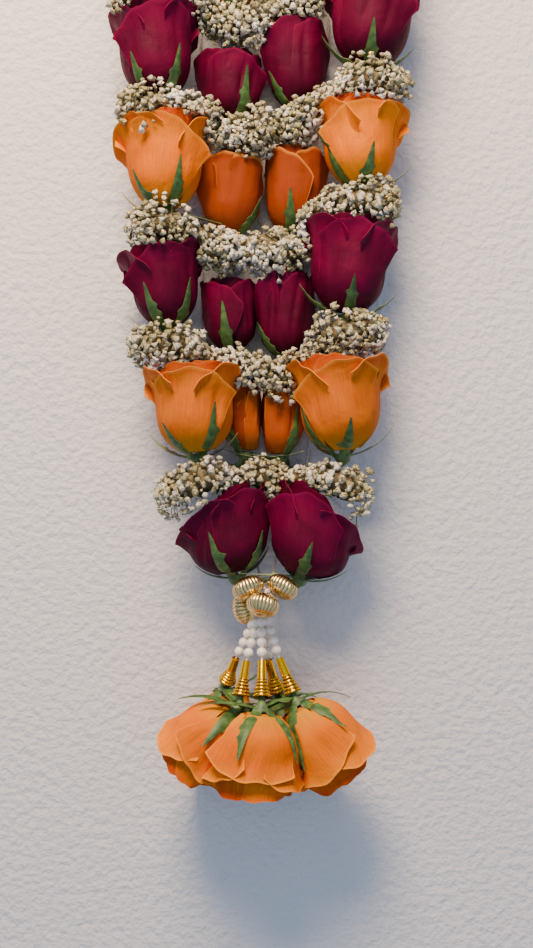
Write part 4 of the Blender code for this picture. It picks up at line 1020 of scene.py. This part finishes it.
def nearest(places, trees):
    """Distance from the nearest of a few places to the trees' surfaces."""
    return min(tree.find_nearest(Vector(place))[3] for tree in trees for place in places)


def free_sepal(rose, angle, length, trees):
    """The first of a few arcs, long ones first, that keeps clear of what is round it."""
    for share in SEPAL_SHARES:
        for lift, curl in SEPAL_BENDS:
            route, away = arching_route(rose, angle, length * share, lift, curl)
            if route[:, 2].min() > SEPAL_FLOOR and nearest(route[3:], trees) > SEPAL_CLEARANCE:
                return route, away
    return None


def greens(members, stems, bloom_trees, trees, links=()):
    """Cups, stems and sepals of a few roses. Sepals that face the viewer hug their petals."""
    forms = [stems[rose.name] for rose in members]
    for rose in members:
        rng = np.random.default_rng(sum(rose.name.encode()) + 5)
        count = SEPALS if rose.full and "back" not in rose.name else HIDDEN_SEPALS
        for k in range(count):
            angle = rose.turn + math.radians(k * 360 / count + SEPAL_TURN)
            length = SEPAL_LENGTH * (1 + 0.18 * math.sin(2.4 * k + rose.turn * 7))
            if math.cos(angle) > HUGGING:
                found = hugging_route(rose, angle, length, bloom_trees[rose.name])
            else:
                found = free_sepal(rose, angle, length, trees)
            if found is not None:
                forms.append(sepal(*found, rng))
    for one, other in links:
        rng = np.random.default_rng(len(forms))
        start = one.foot - one.axis * CUP_LENGTH * 0.5
        end = other.foot - other.axis * CUP_LENGTH * 0.5
        middle = (start + end) / 2 - (one.axis + other.axis) * 0.8
        route, _ = spaced(smooth_route((start, middle, end), 8), 1)
        forms.append(sepal(route, -one.axis, rng))
    return joined(forms)


def spray_stops(above, below):
    """Middle, half height and half depth of a spray at its stops, from the left end to the right.
    It lies in front of the upper row's feet and clear of the lower row's mouths."""
    fall = SPRAY_FALL if above[0].group == "row_2" else 0
    hung = [(rose.foot, lower.mouth[1]) for rose, lower in zip(above, below)]
    between = [((foot + after) / 2, max(mouth, next_mouth))
               for (foot, mouth), (after, next_mouth) in zip(hung, hung[1:])]
    halves = []
    for side, outer, gap, inner in ((-1, hung[0], between[0], hung[1]),
                                    (1, hung[3], between[2], hung[2])):
        half = []
        carriers = (outer, outer, outer, gap, inner, between[1])
        for (x, y, z, height, depth, part), (foot, mouth) in zip(SPRAY_HALF, carriers):
            place = foot + (side * x, y, z)
            place[1] = max(place[1] - fall, mouth - fall * part + SPRAY_LIFT)
            half.append((*place, height, depth))
        halves.append(half)
    return np.array(halves[0] + halves[1][-2::-1])


def floret_templates(rng):
    """A few florets of unit size: rings whose radius and height wave with the angle, as in a
    crumpled double flower, closed by a point in its heart and one behind."""
    angle = circle(FLORET_SIDES)
    shapes = []
    for _ in range(FLORET_SHAPES):
        rings = []
        for radius, height, wave in FLORET_RINGS:
            phase = rng.uniform(0, TURN, 2)
            r = radius * (1 + wave * np.cos(3 * angle + phase[0]) + rng.uniform(-0.1, 0.1, angle.size))
            z = height + 0.6 * wave * np.cos(4 * angle + phase[1])
            rings.append(np.stack((r * np.cos(angle), r * np.sin(angle), z), axis=-1))
        ends = [(0, 0, FLORET_RINGS[0][1] - 0.1), (0, 0, FLORET_RINGS[-1][1] - 0.25)]
        shapes.append(np.r_[np.concatenate(rings), ends])
    return np.array(shapes)


def scattered(shapes, faces, places, outward, sizes, pick):
    """Copies of the templates, each turned to its own outward direction, as one form."""
    across = unit(np.cross(outward, SKEW))
    turns = np.stack((across, np.cross(outward, across), outward), axis=1)
    points = np.einsum("nvk,nkx->nvx", shapes[pick] * sizes[:, None, None], turns) + places[:, None]
    shift = np.arange(len(places))[:, None, None] * shapes.shape[1]
    blocks = [(block[None] + shift).reshape(-1, block.shape[1]) for block in faces]
    return Form(points.reshape(-1, 3), blocks, {})


def stalks(ends, centre, rng):
    """A thin rod to each floret from near the route: a prism of three sides, scaled to length."""
    feet = centre[np.argmin(((ends[:, None] - centre[None]) ** 2).sum(axis=-1), axis=1)]
    feet = feet + (ends - feet) * STALK_START + rng.uniform(-STALK_SPREAD, STALK_SPREAD, feet.shape)
    run = ends - feet
    rod = np.array([(math.cos(a), math.sin(a), h) for h in (0, 1) for a in (0, 2.1, 4.2)]
                   + [(0, 0, 0), UP])
    count = len(run)
    scale = np.stack((np.full(count, STALK_RADIUS),) * 2 + (np.linalg.norm(run, axis=1),), axis=-1)
    return scattered(rod[None] * scale[:, None], ring_faces(2, 3), feet, unit(run), np.ones(count),
                     np.arange(count))


def spray_cloud(name, above, below, roses, trees, seed):
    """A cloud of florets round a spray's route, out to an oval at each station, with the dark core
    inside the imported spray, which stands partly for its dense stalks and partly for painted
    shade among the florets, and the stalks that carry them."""
    rng = np.random.default_rng(seed)
    solid = node_tree(name)
    route, run = spaced(smooth_route(spray_stops(above, below), 8), FLORET_PITCH)
    left, right = CLOUD_TRIMS.get(name, (0, 0))
    stations = slice(left, len(route) - right)
    route, run = route[stations], run[stations]
    centre = route[:, :3] - (0, CLOUD_DROP, 0)
    lumps = 1 + 0.17 * np.sin(run / 5.5 + seed) + 0.08 * np.sin(run / 2.3)
    heights, depths = route[:, 3] * lumps, route[:, 4] * lumps
    along, _, _ = frames(centre)
    across = unit(np.cross(along, UP))
    rise = np.cross(across, along)
    core_angle = circle(CORE_SIDES)
    core, places, outward, depth = [], [], [], []
    for station, middle in enumerate(centre):
        wide, high, ahead = across[station], rise[station], along[station]
        rays = spokes(wide, high, core_angle)
        hits = [solid.ray_cast(Vector(middle), Vector(ray), CORE_RAY)[3] for ray in rays]
        reach = np.array([hit if hit is not None else CORE_LEAST for hit in hits])
        core.append(middle + rays * (reach * CORE_SHARE)[:, None])
        reach = 1 / np.hypot(np.cos(core_angle) / heights[station],
                             np.sin(core_angle) / depths[station])
        girth = TURN * reach.mean()
        count = max(7, int(FLORET_CROWD * girth / FLORET_PITCH))
        angle = (np.arange(count) + 0.5 * (station % 2) + rng.uniform(-0.3, 0.3, count)) * TURN / count
        limit = np.interp(angle % TURN, core_angle, reach, period=TURN)
        share = rng.choice(FLORET_REACH, count) * rng.uniform(0.96, 1.04, count)
        spoke = spokes(wide, high, angle)
        shift = ahead * rng.uniform(-0.4, 0.4, count)[:, None] * FLORET_PITCH
        places.append(middle + spoke * (limit * share)[:, None] + shift)
        outward.append(spoke + ahead * rng.uniform(-0.5, 0.5, count)[:, None])
        depth.append(share)
    places, outward, depth = (np.concatenate(part) for part in (places, outward, depth))
    outward = unit(outward + rng.uniform(-0.35, 0.35, outward.shape))
    sizes = FLORET_RADIUS * rng.uniform(*FLORET_SIZES, len(places))
    kept = np.array([nearest([place], trees) for place in places]) > sizes * FLORET_CLEAR
    kept &= places[:, 2] - sizes > FLORET_FLOOR
    kept &= (outward[:, 2] > -0.3) | (rng.random(len(places)) < FLORET_REAR)
    for rose in roses:
        kept &= ~rose.holds(places)
    places, outward, depth, sizes = places[kept], outward[kept], depth[kept], sizes[kept]
    shapes = floret_templates(rng)
    pick = rng.integers(0, FLORET_SHAPES, len(places))
    cloud = scattered(shapes, ring_faces(len(FLORET_RINGS), FLORET_SIDES), places, outward, sizes, pick)
    pale = 0.42 + 0.25 * np.sin(places[:, 0] / 8 + seed * 2) * np.cos(places[:, 1] / 6)
    for x, y, spread in WHITE_CLUMPS:
        pale += 0.5 * np.exp(-((places[:, 0] - x) ** 2 + (places[:, 1] - y) ** 2) / spread ** 2)
    pale += rng.uniform(-0.42, 0.3, len(places))
    # Painted shade: each floret darker at its back and heart, and darker the deeper it lies in the cloud
    ring_depth = np.repeat(FLORET_DEPTHS, (FLORET_SIDES,) * len(FLORET_RINGS) + (1, 1))
    lit = np.clip((depth - 0.4) / 0.5, 0.3, 1)
    cloud.marks["tone"] = np.repeat(np.clip(pale, 0, 1), shapes.shape[1])
    cloud.marks["depth"] = (lit[:, None] * ring_depth[None]).ravel()
    # Dark core in stalk colour: partly the dense stalks, partly painted shade seen between the florets
    dark = ring_form(np.array(core), centre[[0, -1]], {})
    return cloud, joined([dark, stalks(places[::STALK_EVERY], centre, rng)])


place_camera()
light_scene()
lay_floor()

skins = {
    "red": petal_material("red_rose_petal", "#300212", "#580028", "#1E000A", "#8A1244", "#780038",
                          "#62002E", 0.1),
    "orange": petal_material("orange_rose_petal", "#C89A14", "#EC7A14", "#7C2C16", "#FFAA40",
                             "#F68A18", "#E65C14", 0.05),
    "amber": petal_material("amber_rose_petal", "#D8A018", "#F07C00", "#9A2A04", "#FFA834",
                            "#F68E00", "#E65410", 0.05),
}
roses = {name: Rose(name, *row) for name, row in ROSES.items()}
for rose in roses.values():
    for other in roses.values():
        if other is not rose and other.group == rose.group:
            rose.press(other)
blooms = {name: rose_petals(rose) for name, rose in roses.items()}
for name, form in blooms.items():
    colour = roses[name].colour
    skin = skins["amber" if name in AMBER else colour]
    piece(name + "_petals", form, skin, colour + "_petal", name + "_rose")
bloom_trees = {name: tree_of(form) for name, form in blooms.items()}
all_blooms = tree_of(joined(blooms.values()))

bead_skin = gold_material("pale_gold_plating_melon", "#7A5A28", "#F8DE98", 0.24, 6)
cone_skin = gold_material("yellow_gold_plating_turned", "#7A4802", "#FFC200", 0.2, 8)
# Moulded pearl bead: a milky lacquer that looks deeper than it is, with a clear gloss
pearl_skin = mottled_material("pearl_lacquer", 2.4, 2, ((0.4, "#F2E8D6"), (0.6, "#FFF8EA")),
                              Roughness=0.22, Coat_Weight=0.8, Coat_Roughness=0.08,
                              Sheen_Weight=0.2, Subsurface_Weight=0.15, Subsurface_Scale=0.002)
# White cotton thread: spun fibres that lie along each ply, matt and slightly fuzzy
cotton = mottled_material("white_cotton_thread", 0.6, 3, ((0.3, "#BDB4A6"), (0.7, "#EFEAE0")),
                          (0.5, 0.0003), Roughness=0.9, Sheen_Weight=0.3)
for name, (middle, _, axis) in BEADS.items():
    piece(f"melon_bead_{name}", bead(np.array(middle), axis), bead_skin, "pale_gold", f"gold_bead_{name}")
for name, ends in CONES.items():
    piece(f"turned_cone_{name}", cone(*ends), cone_skin, "yellow_gold", f"gold_cone_{name}")
pearls, threads = pearl_strings()
piece("pearls", pearls, pearl_skin, "pearl", "pearl_strings")
piece("pearl_threads", threads, cotton, "white_string", "pearl_strings")
piece("twisted_string", garland_string(), cotton, "white_string", "garland_string")

ties = {"row_1_left": ROW_1_TIE, "row_1_right": ROW_1_TIE}
for side, places in STRING_TIES.items():
    for row, place in enumerate(places, 2):
        for depth in ("outer", "inner"):
            ties[f"row_{row}_{depth}_{side}"] = place
stems = {}
for name, rose in roses.items():
    if name in ties:
        tie = np.array(ties[name])
        start = rose.foot - rose.axis * CUP_LENGTH
        bend = start + (tie - start) * STEM_BEND
    else:
        tip, base = CONES[name.removeprefix("tassel_")]
        up = unit(tip - base)
        tie = base + up * CONE_STUB
        bend = base - up * CONE_MARGIN
    stems[name] = cup_and_stem(rose, bend, tie)

calyx = calyx_material()
fixed = [all_blooms] + [node_tree("gold_cone_" + name) for name in CONES] + [node_tree("garland_string")]
tassel = [roses["tassel_" + name] for name in CONES]
rows = {row: [rose for rose in roses.values() if rose.group == f"row_{row}"] for row in range(1, 7)}
halves = {"row_1": rows[1]}
for row in range(2, 7):
    halves[f"row_{row}_left"] = rows[row][:2]
    halves[f"row_{row}_right"] = rows[row][2:]
halves["tassel"] = tassel
green_forms = {}
for name, members in halves.items():
    links = list(zip(tassel, tassel[1:])) if name == "tassel" else ()
    green_forms[name] = greens(members, stems, bloom_trees, fixed, links)
for name, form in green_forms.items():
    piece(name + "_sepals_and_stems", form, calyx, "calyx_green", name + "_calyxes")

floret_skin = floret_material()
# Dry stalks of the baby's breath: thin, grey-green and dull
stalk_skin = mottled_material("dried_babys_breath_stalk", 3.3, 2, ((0.35, "#4A422A"), (0.65, "#827550")),
                              Roughness=0.85)
around = [all_blooms, tree_of(joined(green_forms.values()))]
for row in range(2, 7):
    name = f"babys_breath_{row - 1}_{row}"
    below = rows[row - 1] if row > 2 else [rows[1][0], rows[1][0], rows[1][1], rows[1][1]]
    cloud, carriers = spray_cloud(name, rows[row], below, roses.values(), around, row)
    piece(name + "_florets", cloud, floret_skin, "babys_breath", name, crease=180)
    piece(name + "_stalks", carriers, stalk_skin, "babys_breath", name)
